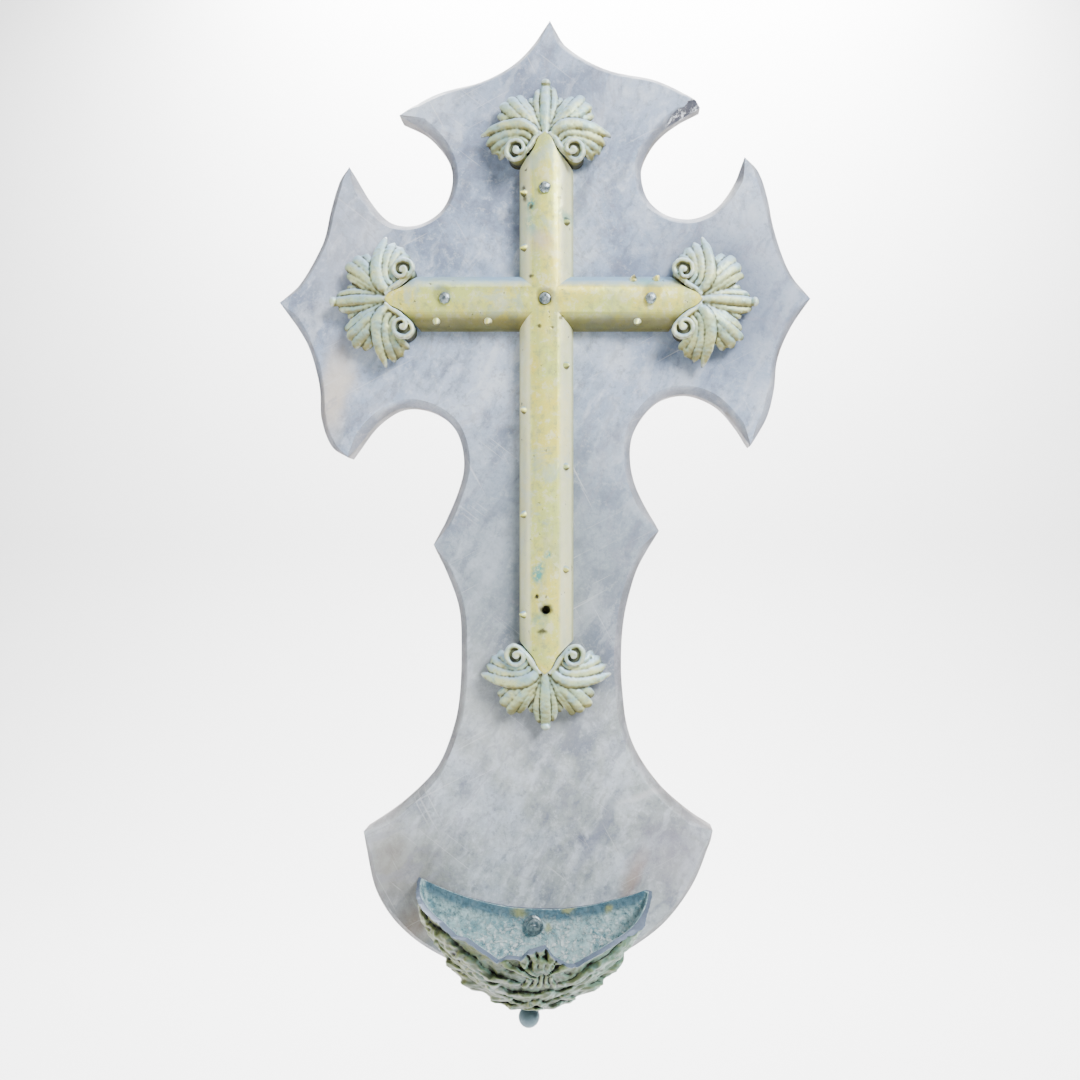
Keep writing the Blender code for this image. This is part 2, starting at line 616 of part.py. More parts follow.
def make_font(collection, cutters):
    """The holy-water font: a hollow half bowl with a flat back, a scalloped rim and a ball pendant."""
    floor_inside = FONT_DEPTH - FONT_FLOOR * FONT_WALL
    outer = [bowl_ring(level / FONT_LEVELS, FONT_DEPTH, 0.0) for level in range(FONT_LEVELS, -1, -1)]
    inner = [bowl_ring(level / FONT_INNER_LEVELS, floor_inside, FONT_WALL)
             for level in range(FONT_INNER_LEVELS + 1)]
    bm = bmesh.new()
    loft(bm, outer + inner)
    font = object_from("holy_water_font", bm, collection)

    radius = PENDANT_DIAMETER / 2
    centre = font_place(0.0, PENDANT_OUT * radius, FONT_DEPTH + PENDANT_DOWN * radius)
    ball = bmesh.new()
    bmesh.ops.create_uvsphere(ball, u_segments=16, v_segments=10, radius=radius,
                              matrix=Matrix.Translation(centre))
    combine(font, object_from("pendant_ball", ball, cutters), "UNION")

    place = font_place(0.0, 0.0, NUT_DROP)
    bore = cylinder("font_bolt_bore", BOLT_SHANK_DIAMETER / 2 + SEAM, -FRONT - 2 * FONT_WALL, 0.0,
                    place.x, place.z, cutters, sides=12)
    combine(font, bore, "DIFFERENCE")
    return font


def make_font_nut(collection):
    """The bolt and nut that hold the font, seen inside the bowl."""
    radius = NUT_DIAMETER / 2
    shank = BOLT_SHANK_DIAMETER / 2
    place = font_place(0.0, 0.0, NUT_DROP)
    profile = [(shank, -SEAM - FONT_WALL - SEAM - BOLT_GRIP), (shank, 0.0)]
    profile += [(radius * across, NUT_HEIGHT * up) for across, up in NUT_PROFILE]
    return turned("font_bolt", profile, collection, place.x, place.z, -FRONT - FONT_WALL - SEAM, sides=18)


def drill_plaque(plaque, cutters):
    """Blind holes in the marble for the two bolts."""
    font_bolt = font_place(0.0, 0.0, NUT_DROP)
    for name, x, z in (("cross_bolt_hole", 0.0, 0.0), ("font_bolt_hole", font_bolt.x, font_bolt.z)):
        hole = cylinder(name, BOLT_SHANK_DIAMETER / 2 + SEAM, -2 * PLAQUE_THICKNESS,
                        -PLAQUE_THICKNESS + BOLT_GRIP + SEAM, x, z, cutters, sides=12)
        combine(plaque, hole, "DIFFERENCE")


def smooth(thing):
    """Shades a rounded piece smooth, with its creases sharp."""
    thing.data.shade_smooth()
    thing.data.set_sharp_from_angle(angle=SMOOTH_ANGLE)


def main():
    """Builds the crucifix's twelve pieces."""
    for thing in list(bpy.data.objects):
        bpy.data.objects.remove(thing, do_unlink=True)
    crucifix = new_collection("wall_crucifix")
    cutters = new_collection("cutters")

    marble = material("marble", (0.62, 0.65, 0.69), 0.6, 0.0)
    brass = material("weathered_brass", (0.66, 0.64, 0.42), 0.42, 0.6)
    verdigris = material("verdigris_brass", (0.58, 0.62, 0.50), 0.55, 0.4)
    bronze = material("bronze", (0.30, 0.36, 0.26), 0.5, 0.6)
    steel = material("steel", (0.42, 0.46, 0.48), 0.4, 0.9)

    plaque = make_plaque(crucifix, cutters)
    drill_plaque(plaque, cutters)
    plaque.data.materials.append(marble)
    cross = make_cross(crucifix, cutters)
    cross.data.materials.append(brass)
    finials = make_finials(crucifix, cutters)
    finials[0].data.materials.append(verdigris)
    font = make_font(crucifix, cutters)
    font.data.materials.append(bronze)
    nails = make_studs(crucifix) + [make_bolt(crucifix), make_font_nut(crucifix)]
    for nail in nails:
        nail.data.materials.append(steel)
    for thing in [cross, font, finials[0]] + nails:
        smooth(thing)


main()
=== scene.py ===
"""Looks of the wall crucifix: marble plaque, brass cross, leafy finials, nails, and bronze font.

Row frame in metres: the origin is on the plaque's back behind the crossing, +Z up, front towards -Y.
"""

import math

import bmesh
import bpy
import numpy as np
from mathutils import Matrix, Vector, noise


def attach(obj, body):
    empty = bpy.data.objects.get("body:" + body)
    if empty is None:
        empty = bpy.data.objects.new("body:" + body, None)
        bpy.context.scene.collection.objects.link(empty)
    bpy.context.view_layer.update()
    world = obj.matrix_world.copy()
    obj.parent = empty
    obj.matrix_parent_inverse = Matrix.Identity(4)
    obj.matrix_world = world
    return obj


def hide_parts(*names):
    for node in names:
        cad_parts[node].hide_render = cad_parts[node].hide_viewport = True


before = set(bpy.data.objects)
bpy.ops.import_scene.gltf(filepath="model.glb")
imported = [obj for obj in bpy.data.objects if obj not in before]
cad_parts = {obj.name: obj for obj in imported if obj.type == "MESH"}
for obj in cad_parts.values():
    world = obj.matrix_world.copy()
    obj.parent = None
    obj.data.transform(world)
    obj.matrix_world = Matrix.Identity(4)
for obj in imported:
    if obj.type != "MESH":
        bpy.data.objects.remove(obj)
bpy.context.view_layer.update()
noise.seed_set(1)   # else noise_vector takes its offsets from the clock

# Sizes, as in the solids
SEAM = 0.0003
PLAQUE_THICKNESS = 0.015
FRONT = PLAQUE_THICKNESS + SEAM
BEVEL_INSET = 0.0042
BEVEL_DEPTH = 0.0060
BEAM_WIDTH = 0.0322
BEAM_RISE = 0.0160
BEAM_FACETS = 40
BEAM_ROUNDNESS = 0.92
LEFT, RIGHT, HEAD, FOOT = 0.0940, 0.0920, 0.0976, 0.2196   # crossing to each point of the bars
FONT_WIDTH, FONT_PROJECTION, FONT_DEPTH, FONT_WALL = 0.1405, 0.0700, 0.0715, 0.0030
FONT_TILT = math.radians(2.5)
FONT_Z, FONT_X = -0.3465, -0.0065
FONT_FRONT_SHARE = 0.215   # how far down, as a share of its depth, the font reaches its projection
BACK_SAG = 0.0154          # of the font's rim against the marble
BALL_RADIUS, BALL_OUT, BALL_DROP = 0.0063, 0.00725, 0.00535
NUT_DROP = 0.0245

OUTLINE = [
    [(2, 171), (12, 157.5), (36, 144), (66, 137.5), (83, 129.5)],
    [(92.5, 121), (79, 113.5), (64.5, 101), (57, 84), (60.5, 66), (72, 56), (87, 53.5), (101, 59),
     (113, 74.5)],
    [(119, 89), (128, 81.5), (133.5, 66), (137.5, 47), (145, 25)],
    [(158.5, 4), (147, -13), (139.5, -32), (137.5, -50), (132, -69)],
    [(122.4, -84.3), (114, -72), (101, -58.5), (84, -52.5), (66, -57.5), (53, -74), (50.2, -92),
     (54, -109)],
    [(67.5, -135.5), (54, -160), (46, -193), (45.3, -228), (51, -263), (68, -290), (87, -307)],
    [(99.7, -315.5), (98, -325), (88, -350), (67.5, -376), (35, -397), (-5, -411), (-45, -401.5),
     (-80, -383), (-101, -359), (-108.5, -333)],
    [(-110, -316), (-90, -302), (-67, -279), (-55, -248), (-51.8, -212), (-54, -180)],
    [(-68, -143.7), (-55.5, -116), (-50.2, -95), (-55, -75), (-69, -63.5), (-86, -61), (-103, -70.5)],
    [(-119.3, -91.5), (-130, -85), (-136.5, -68), (-138, -48), (-144.5, -24)],
    [(-160.3, 1.5), (-147, 18), (-136, 38.5), (-130.5, 60), (-125.5, 75)],
    [(-118.5, 83.1), (-108, 65.5), (-94, 51), (-79, 50), (-64, 59), (-57.3, 76), (-61.5, 92.5), (-73, 106)],
    [(-88.5, 114), (-80, 122), (-64, 130), (-40, 136.7), (-20, 147.5)],
]
OGEE = [(0.0, 0.0), (0.09, 0.105), (0.19, 0.155), (0.31, 0.215), (0.42, 0.315), (0.52, 0.42), (0.63, 0.55)]
KNOTS_UP = [(0.646, -1), (0.317, -1), (0.474, 1), (-0.175, 1), (-0.295, -1), (-0.446, 1), (-0.574, -1),
            (-0.721, 1), (-0.843, -1)]
KNOTS_ACROSS = [(-0.682, -1), (-0.359, -1), (0.588, -1), (0.562, 1), (0.709, 1)]
# Breaks in the top right lobe: x, z, half-length, half-depth, half-width in mm, degrees
CHIPS = [(97.0, 116.5, 15.0, 6.6, 9.3, 0.0), (82.6, 110.2, 15.0, 9.5, 7.6, -40.0)]
# The plaque's section from back to front: shares of the arris inwards and down (None: the back face)
ARRIS = [(0.10, None), (0.0, 0.0), (0.0, 1.0), (0.45, 0.50), (0.88, 0.10), (1.04, 0.0)]
# Holes in the cross: x, z, radius, depth in metres. The foot's nail hole, a casting pit, the bolt's seat.
HOLES = [(0.0006, -0.829 * FOOT, 0.0024, 0.011), (-0.0047, -0.1735, 0.0008, 0.002),
         (0.0, 0.0, 0.0037, 0.0012)]
STUB_RADIUS, STUB_LENGTH = 0.0024, 0.0036   # lopped branches on the bars

# Ribs of a finial's leaves: points (outward, sideways, crown height, half-width) in mm from the bar's
# point. All but the first have a mirror twin.
RIBS = [
    [(-2, 0, 15.2, 2.0), (8, 0, 15.0, 2.5), (18, 0, 13.6, 2.8), (27, 0, 10.6, 2.6), (32.5, 0, 8.8, 2.3)],
    [(1, 1.6, 14.6, 1.6), (10, 3.6, 13.6, 2.2), (18, 4.8, 11.8, 2.5), (25, 4.6, 9.6, 2.2),
     (29.5, 3.4, 8.0, 1.7)],
    [(3, 2.2, 14.0, 1.6), (11, 5.4, 12.4, 2.0), (17, 7.6, 10.8, 2.2), (21.5, 8.2, 9.2, 1.9),
     (24.5, 7.8, 7.6, 1.5)],
    [(1, 3, 14.6, 2.0), (9.5, 8.6, 14.4, 2.5), (16.5, 13.0, 12.8, 2.7), (21.5, 15.2, 10.4, 2.5),
     (25.0, 15.6, 8.4, 2.1)],
    [(0, 4, 14.8, 2.2), (8.8, 10.8, 15.2, 2.9), (15.4, 16.4, 13.8, 3.1), (21, 20, 11.2, 3.0),
     (24.6, 21.4, 8.8, 2.3)],
    [(-1, 5, 14.8, 2.0), (7, 12.6, 15.0, 2.9), (12.4, 19.2, 13.6, 3.2), (17.2, 24, 11.2, 3.1),
     (20.4, 26.6, 8.8, 2.3)],
    [(-1.5, 6, 14.6, 1.7), (4.6, 13.8, 14.2, 2.5), (8.4, 20.6, 12.6, 2.8), (11.8, 25.6, 10.6, 2.7),
     (14.0, 28.4, 8.4, 2.1)],
    [(-3.5, 4.4, 15.6, 1.7), (1.2, 7.0, 16.8, 2.8), (4.2, 12.4, 17.0, 3.3), (4.8, 19.5, 15.8, 3.3),
     (3.4, 29, 13.0, 3.0), (0.6, 38.6, 9.4, 1.8)],
    [(-4.8, 7.6, 15.0, 1.6), (-0.4, 11.6, 15.8, 2.5), (0.2, 19.6, 14.8, 2.9), (-1.6, 28.4, 12.4, 2.8),
     (-4.4, 35.6, 9.2, 2.0)],
    [(-6.8, 9.6, 14.8, 1.5), (-3.8, 14.6, 15.0, 2.3), (-3.8, 21.4, 13.8, 2.7), (-6.4, 27.8, 11.6, 2.6),
     (-9.4, 32.4, 8.8, 2.0)],
    [(-8.0, 11.4, 14.4, 1.4), (-6.6, 17.4, 14.0, 2.1), (-7.6, 22.6, 13.0, 2.5), (-10.6, 25.8, 10.8, 2.3),
     (-13.4, 27.8, 8.6, 1.8)],
]
# The leaves' blades between their ribs, in the same terms
BLADES = [
    [(0, 0, 13.8, 3.6), (12, 0, 12.6, 5.6), (21, 0, 10.2, 7.4), (28, 0, 8.0, 5.6)],
    [(2, 5, 13.8, 4.5), (9, 11.4, 13.6, 6.8), (14.5, 17.4, 12.0, 9.2), (20.4, 22.6, 8.8, 8.0)],
    [(-3, 7, 14.2, 3.2), (0, 12.6, 15.0, 5.4), (-0.8, 20.6, 13.4, 8.0), (-3.6, 29.0, 10.6, 7.6),
     (-4.6, 34, 8.4, 5.4)],
]
SCROLL = [(-0.4, 2.4, 16.0, 1.2), (-4, 6.0, 16.4, 1.5), (-8, 8.4, 16.6, 1.6), (-11.4, 11.2, 16.6, 1.6),
          (-15, 14.6, 16.6, 1.6), (-16.6, 18.2, 16.8, 1.6), (-14.4, 21.6, 17.0, 1.6),
          (-10, 22.2, 17.2, 1.6),
          (-6.4, 19.9, 17.5, 1.5), (-5.8, 15.8, 17.8, 1.4), (-8.0, 12.9, 18.0, 1.3),
          (-11.2, 12.8, 18.2, 1.2),
          (-13.0, 15.4, 18.4, 1.2), (-12.0, 17.9, 18.6, 1.2), (-10.0, 17.6, 18.6, 1.3)]
SCROLL_CENTRE = (-0.0110, 0.0168)  # metres
RIB_STEPS = 8  # rings from one point of a rib to the next
RIB_FACETS = 8  # across a rib's crown
RIB_THICKNESS = 3.6  # mm, where a rib stands clear of the marble
RIB_NOSE_START, RIB_NOSE_LENGTH = 0.86, 0.14  # the blunt tip, in shares of a rib's length
GRAIN = 0.00048  # voxel size that fuses a finial, in metres

# Depth of the font's rim below its horns in mm, by degrees from the left horn
RIM = [(0, 0), (12, 1.5), (25, 3.4), (40, 5.7), (46, 6.5), (54, 12), (61, 11), (70, 17), (76, 22),
       (81, 17.6),
       (88, 17.8), (91.5, 12.7), (99, 9.6), (104, 17.7), (112, 23.5), (117, 25.3), (122, 21.4), (138, 14.7),
       (156, 11.9), (168, 7.0), (180, 2.2)]
# Ribs of the font's leaves: points (sideways from the middle leaf, down from the rim, half-width, height), mm
FONT_RIBS = [
    [(0, 4, 2.2, 2.4), (0, 14, 2.4, 3.2), (0, 23, 1.4, 2.4)],
    [(6, 5, 2.2, 2.0), (4.6, 14, 2.3, 3.0), (1.5, 23, 1.2, 2.2)],
    [(12, 10, 2.2, 2.0), (8.6, 17, 2.2, 2.8), (2.5, 24, 1.2, 2.2)],
    [(18, 16, 2.2, 2.0), (12, 21, 2.2, 2.8), (4, 26, 1.2, 2.2)],
    [(0, 25, 1.2, 2.2), (0, 34, 1.4, 2.8)],
    [(3.4, 26, 1.2, 2.2), (3.8, 35, 1.4, 2.8)],
    [(7, 27, 1.2, 2.0), (8, 35, 1.5, 2.6)],
    [(94, 7, 3.6, 2.0), (72, 9, 5.0, 3.2), (48, 17, 5.0, 3.8), (26, 30, 3.6, 3.2), (12, 33, 2.0, 2.2)],
    [(90, 17, 3.2, 2.0), (68, 18, 4.4, 3.2), (46, 25, 4.4, 3.6), (26, 37, 3.2, 3.0)],
    [(78, 28, 3.2, 2.0), (60, 28, 4.2, 3.2), (42, 33, 4.0, 3.6), (24, 43, 3.0, 2.8)],
    [(64, 38, 3.0, 2.0), (50, 38, 3.8, 3.2), (34, 42, 3.6, 3.4), (18, 48, 2.6, 2.6)],
    [(48, 46, 2.8, 2.0), (36, 47, 3.4, 3.0), (22, 50, 3.0, 3.0), (10, 52, 2.2, 2.4)],
    [(24, 39, 2.2, 2.6), (12, 41.5, 2.8, 3.4), (0, 42, 2.8, 3.4)],
    [(30, 55, 2.4, 2.2), (16, 57, 2.8, 3.0), (0, 49, 2.4, 3.0)],
    [(20, 61, 2.2, 1.8), (10, 62, 2.6, 2.6), (0, 56, 2.4, 2.8)],
]
# Broad swellings of the font's foliage: sideways, down, radius, height, in mm
FONT_LOBES = [(-45, 45, 7.5, 7.0), (-55, 33, 6, 4.0), (-31, 56, 7, 6.0), (-17, 63, 8, 6.4),
              (41, 47, 8, 8.0),
              (53, 35, 7, 5.6), (28, 56, 7, 5.6), (15, 63, 8, 6.4), (0, 60, 9, 3.6)]
FONT_HOLES = [(-7, 17, 1.7), (1, 12, 1.5), (8, 20, 1.7), (-16, 22, 1.5), (16, 25, 1.6),
              (-27, 24, 1.8), (29, 22, 1.8)]
LEAF_AXIS, MM_PER_DEGREE = 98.0, 1.15   # the middle leaf, by degrees from the left horn

# Stains and clouds on the marble: x, z, half-width, half-height in mm, degrees, colour, strength
STAINS = [
    (-127, -51, 9, 24, 10, (226, 214, 196), 0.75), (-79, -372, 16, 9, -30, (150, 120, 92), 0.55),
    (52, -341, 5, 13, 20, (158, 118, 88), 0.5), (30, -318, 3, 26, 28, (122, 128, 150), 0.6),
    (22, -320, 2.2, 3.5, 0, (92, 98, 118), 0.8), (62, -294, 16, 1.6, -18, (214, 214, 216), 0.5),
    (-95, -330, 10, 20, 0, (170, 160, 150), 0.4), (-20, -240, 40, 30, 0, (196, 200, 198), 0.4),
    (75, -330, 22, 20, 30, (150, 146, 156), 0.5), (104, 4, 48, 44, 0, (96, 112, 140), 0.8),
    (0, -150, 62, 66, 0, (112, 124, 134), 0.6), (0, 120, 46, 20, 0, (142, 156, 182), 0.4),
    (-85, -345, 28, 28, 0, (112, 110, 98), 0.6), (-120, 40, 24, 40, 0, (212, 214, 220), 0.35),
]
# Verdigris blooms and dark marks on the brass, each with the values that Nodes.spot takes
BLOOMS = [(-4, -160, 3.4, 6.0, 8, 0.5), (-8.5, 55, 2.4, 4.2, 0, 0.7), (2, -150, 2, 2, 0, 0.7),
          (-9, 45, 2.6, 6, 0, 0.8, 0.6), (12, 49, 4, 3, 0, 0.8, 0.6), (-3, -188, 4, 3, 0, 0.8, 0.5),
          (60, 10, 8, 3, 0, 0.8, 0.5)]
MARKS = [
    (-2, -194.5, 2.2, 1.4, 0, 0.6, 0.9), (-4.7, -174, 1.2, 1.2, 0, 0.5, 1.0),
    (-3.4, -16, 1.2, 0.9, 0, 0.6, 0.9), (4, -17, 1.0, 0.9, 0, 0.6, 0.8), (-8, 13.4, 1.4, 1.0, 0, 0.6, 0.9),
    (52.5, 13.6, 1.6, 1.1, 0, 0.6, 0.9), (-12, 60, 1.2, 2.0, 0, 0.6, 0.8), (-13, 66, 1.0, 1.8, 0, 0.6, 0.8),
    (-8.4, 54, 1.2, 1.6, 0, 0.6, 0.9), (13, 48, 1.6, 1.0, 0, 0.6, 0.8), (0, 1, 5.4, 5.4, 0, 0.25, 0.55),
    (-61, 3, 5.2, 5.2, 0, 0.3, 0.4), (62, 5, 5.2, 5.2, 0, 0.3, 0.4), (0.6, -182, 3.4, 3.4, 0, 0.35, 0.9),
]

# The stage, in metres: its floor's height, near edge, start and radius of the sweep, top, half-width
FLOOR_Z = -1.30
STAGE_NEAR, STAGE_BEND, SWEEP_RADIUS, STAGE_TOP, STAGE_HALF_WIDTH = -9.0, 2.2, 1.2, 9.0, 12.0


def srgb(red, green, blue):
    """A display colour, 0 to 255, as linear RGBA."""
    values = [channel / 255 for channel in (red, green, blue)]
    return tuple(v / 12.92 if v <= 0.04045 else ((v + 0.055) / 1.055) ** 2.4 for v in values) + (1.0,)


class Nodes:
    """One material's nodes, built with short calls."""

    def __init__(self, name, roughness, metallic=0.0):
        self.material = bpy.data.materials.new(name)
        self.material.use_nodes = True
        self.tree = self.material.node_tree
        self.shader = self.tree.nodes["Principled BSDF"]
        self.shader.inputs["Metallic"].default_value = metallic
        self.shader.inputs["Roughness"].default_value = roughness
        geometry = self.add("ShaderNodeNewGeometry")
        self.position = geometry.outputs["Position"]
        self.normal = geometry.outputs["Normal"]
        self.ragged = self.position

    def add(self, kind, **settings):
        node = self.tree.nodes.new(kind)
        for key, value in settings.items():
            setattr(node, key, value)
        return node

    def feed(self, socket, value):
        if isinstance(value, bpy.types.NodeSocket):
            self.tree.links.new(value, socket)
        else:
            socket.default_value = value

    def sum(self, operation, a, b=0.0):
        """Any Math node of one or two values."""
        node = self.add("ShaderNodeMath", operation=operation)
        self.feed(node.inputs[0], a)
        self.feed(node.inputs[1], b)
        return node.outputs[0]

    def span(self, value, low, high, start=0.0, end=1.0):
        """Smooth step from start to end as value goes from low to high."""
        node = self.add("ShaderNodeMapRange", interpolation_type="SMOOTHSTEP")
        self.feed(node.inputs["Value"], value)
        for key, bound in (("From Min", low), ("From Max", high), ("To Min", start), ("To Max", end)):
            node.inputs[key].default_value = bound
        return node.outputs["Result"]

    def axis(self, vector, index):
        node = self.add("ShaderNodeSeparateXYZ")
        self.feed(node.inputs[0], vector)
        return node.outputs[index]

    def mapped(self, vector, scale=(1, 1, 1), turn=(0, 0, 0), place=(0, 0, 0), kind="POINT"):
        node = self.add("ShaderNodeMapping", vector_type=kind)
        self.feed(node.inputs["Vector"], vector)
        node.inputs["Location"].default_value = place
        node.inputs["Rotation"].default_value = turn
        node.inputs["Scale"].default_value = scale
        return node.outputs[0]

    def noise(self, scale, detail=4.0, rough=0.55, vector=None, warp=0.0, colour=False):
        node = self.add("ShaderNodeTexNoise")
        self.feed(node.inputs["Vector"], vector or self.position)
        for key, amount in (("Scale", scale), ("Detail", detail), ("Roughness", rough), ("Distortion", warp)):
            node.inputs[key].default_value = amount
        return node.outputs[1 if colour else 0]

    def mix(self, share, a, b):
        """Colour a at share 0, colour b at share 1."""
        node = self.add("ShaderNodeMix", data_type="RGBA")
        self.feed(node.inputs[0], share)
        self.feed(node.inputs[6], a)
        self.feed(node.inputs[7], b)
        return node.outputs[2]

    def tint(self, colour, value, low, high, strength, shade):
        """Mixes a shade in, up to its strength, as value goes from low to high."""
        return self.mix(self.span(value, low, high, 0.0, strength), colour, srgb(*shade))

    def roughen(self, scale, amount):
        """Makes the edges of all later spots uneven."""
        spread = self.add("ShaderNodeVectorMath", operation="MULTIPLY_ADD")
        self.feed(spread.inputs[0], self.noise(scale, 3.0, 0.6, colour=True))
        spread.inputs[1].default_value = (2 * amount,) * 3
        spread.inputs[2].default_value = (-amount,) * 3
        moved = self.add("ShaderNodeVectorMath", operation="ADD")
        self.feed(moved.inputs[0], spread.outputs[0])
        self.feed(moved.inputs[1], self.position)
        self.ragged = moved.outputs[0]

    def spot(self, x, z, half_width, half_height, angle=0.0, soft=0.6, strength=1.0):
        """A soft-edged oval on the front, in row millimetres."""
        flat = self.mapped(self.ragged, (half_width / 1000, 10.0, half_height / 1000),
                           (0.0, math.radians(angle), 0.0), (x / 1000, 0.0, z / 1000), "TEXTURE")
        length = self.add("ShaderNodeVectorMath", operation="LENGTH")
        self.feed(length.inputs[0], flat)
        return self.span(length.outputs["Value"], 1.0 + soft, max(0.0, 1.0 - soft), 0.0, strength)

    def any_of(self, masks):
        total = masks[0]
        for mask in masks[1:]:
            total = self.sum("MAXIMUM", total, mask)
        return total

    def attribute(self, name):
        return self.add("ShaderNodeAttribute", attribute_name=name).outputs["Fac"]

    def bump(self, heights):
        """Chains bumps of (height, metres)."""
        normal = None
        for height, distance in heights:
            node = self.add("ShaderNodeBump")
            node.inputs["Distance"].default_value = distance
            self.feed(node.inputs["Height"], height)
            if normal:
                self.feed(node.inputs["Normal"], normal)
            normal = node.outputs[0]
        self.feed(self.shader.inputs["Normal"], normal)

    def finish(self, colour, roughness=None):
        self.feed(self.shader.inputs["Base Color"], colour)
        if roughness is not None:
            self.feed(self.shader.inputs["Roughness"], roughness)
        return self.material


def object_from(name, bm):
    """An object made from a bmesh, which is used up."""
    bmesh.ops.recalc_face_normals(bm, faces=bm.faces)
    mesh = bpy.data.meshes.new(name)
    bm.to_mesh(mesh)
    bm.free()
    made = bpy.data.objects.new(name, mesh)
    bpy.context.scene.collection.objects.link(made)
    return made


def loft(bm, rings, caps=True):
    """Skins rings of equal counts."""
    rows = [[bm.verts.new(point) for point in ring] for ring in rings]
    count = len(rows[0])
    for low, high in zip(rows, rows[1:]):
        for i in range(count):
            j = (i + 1) % count
            bm.faces.new((low[i], low[j], high[j], high[i]))
    if caps:
        bm.faces.new(rows[0][::-1])
        bm.faces.new(rows[-1])
    return rows


def applied(thing):
    """Applies an object's modifiers."""
    bpy.context.view_layer.update()
    graph = bpy.context.evaluated_depsgraph_get()
    mesh = bpy.data.meshes.new_from_object(thing.evaluated_get(graph))
    old = thing.data
    thing.modifiers.clear()
    thing.data = mesh
    bpy.data.meshes.remove(old)
    return thing


def boolean(target, others, operation):
    """Combines with each of the other objects, which are used up."""
    hold = bpy.data.collections.new("operands")
    for other in others:
        hold.objects.link(other)
    modifier = target.modifiers.new("combine", "BOOLEAN")
    modifier.operation = operation
    modifier.solver = "EXACT"
    modifier.operand_type = "COLLECTION"
    modifier.collection = hold
    applied(target)
    for other in others:
        bpy.data.objects.remove(other)
    bpy.data.collections.remove(hold)
    return target


def smooth(thing, degrees=35):
    thing.data.shade_smooth()
    thing.data.set_sharp_from_angle(angle=math.radians(degrees))


def finish_piece(thing, node, materials):
    """Dresses a piece, puts it in a CAD node's place and lets it ride on the root body."""
    for made in materials:
        thing.data.materials.append(made)
    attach(thing, "root")
    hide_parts(node)


def curve_through(points, steps):
    """Smooth curve through vectors, both ends included."""
    padded = [2 * points[0] - points[1]] + list(points) + [2 * points[-1] - points[-2]]
    curve = []
    for a, b, c, d in zip(padded, padded[1:], padded[2:], padded[3:]):
        knots = [0.0]
        for start, end in ((a, b), (b, c), (c, d)):
            knots.append(knots[-1] + math.sqrt((end - start).length) + 1e-9)
        for step in range(steps):
            t = knots[1] + (knots[2] - knots[1]) * step / steps
            level = [a, b, c, d]
            for width in (1, 2):
                level = [level[i] + (level[i + 1] - level[i])
                         * ((t - knots[i]) / (knots[i + width] - knots[i]))
                         for i in range(len(level) - 1)]
            curve.append(level[0] + (level[1] - level[0]) * ((t - knots[1]) / (knots[2] - knots[1])))
    curve.append(points[-1])
    return curve


def wobble(point, scale, seed=0.0):
    """Smooth random offset, the same in each run."""
    return noise.noise_vector(Vector(point) * scale + Vector((seed, seed * 1.7, -seed)))


def make_plaque():
    """The marble slab with its sloping arris and its broken lobe."""
    outline = []
    reaches = []
    for row, following in zip(OUTLINE, OUTLINE[1:] + OUTLINE[:1]):
        stretch = curve_through([Vector((x, z, 0.0)) / 1000 for x, z in row + following[:1]], 9)
        lengths = [0.0]
        for a, b in zip(stretch, stretch[1:]):
            lengths.append(lengths[-1] + (b - a).length)
        outline += stretch[:-1]
        reaches += [min(length, lengths[-1] - length) for length in lengths[:-1]]
    count = len(outline)
    inward = []
    for i in range(count):
        along = (outline[(i + 1) % count] - outline[i - 1]).normalized()
        inward.append(Vector((along.y, -along.x, 0.0)))
    full = [min(BEVEL_INSET, 0.28 * reach + 0.1 * BEVEL_INSET) for reach in reaches]
    rings = []
    for share_in, share_back in ARRIS:
        ring = []
        for i, point in enumerate(outline):
            uneven = wobble(point, 55, share_in * 9) * 0.00035
            place = point + inward[i] * (full[i] * share_in + uneven.x)
            if share_back is None:
                y = 0.0
            elif share_back == 0.0 and share_in == 0.0:
                y = -0.0006
            else:
                y = full[i] / BEVEL_INSET * BEVEL_DEPTH * share_back - PLAQUE_THICKNESS
                y += uneven.y if 0.0 < share_back else 0.0
            ring.append(Vector((place.x, y, place.y)))
        rings.append(ring)
    bm = bmesh.new()
    loft(bm, rings)
    plaque = object_from("plaque_stone", bm)

    for x, z, long, deep, wide, angle in CHIPS:
        chip = bmesh.new()
        bmesh.ops.create_icosphere(chip, subdivisions=5, radius=1.0)
        for vert in chip.verts:
            vert.co = vert.co * (1.0 + 0.10 * noise.noise(vert.co * 2.3 + Vector((x, 0, 0)))
                                 + 0.02 * noise.noise(vert.co * 19.0) + 0.06 * noise.noise(vert.co * 7.0))
        chip.transform(Matrix.Translation((x / 1000, -PLAQUE_THICKNESS, z / 1000))
                       @ Matrix.Rotation(math.radians(angle), 4, "Y")
                       @ Matrix.Diagonal((long / 1000, deep / 1000, wide / 1000, 1.0)))
        boolean(plaque, [object_from("chip", chip)], "DIFFERENCE")
    smooth(plaque, 28)
    return plaque


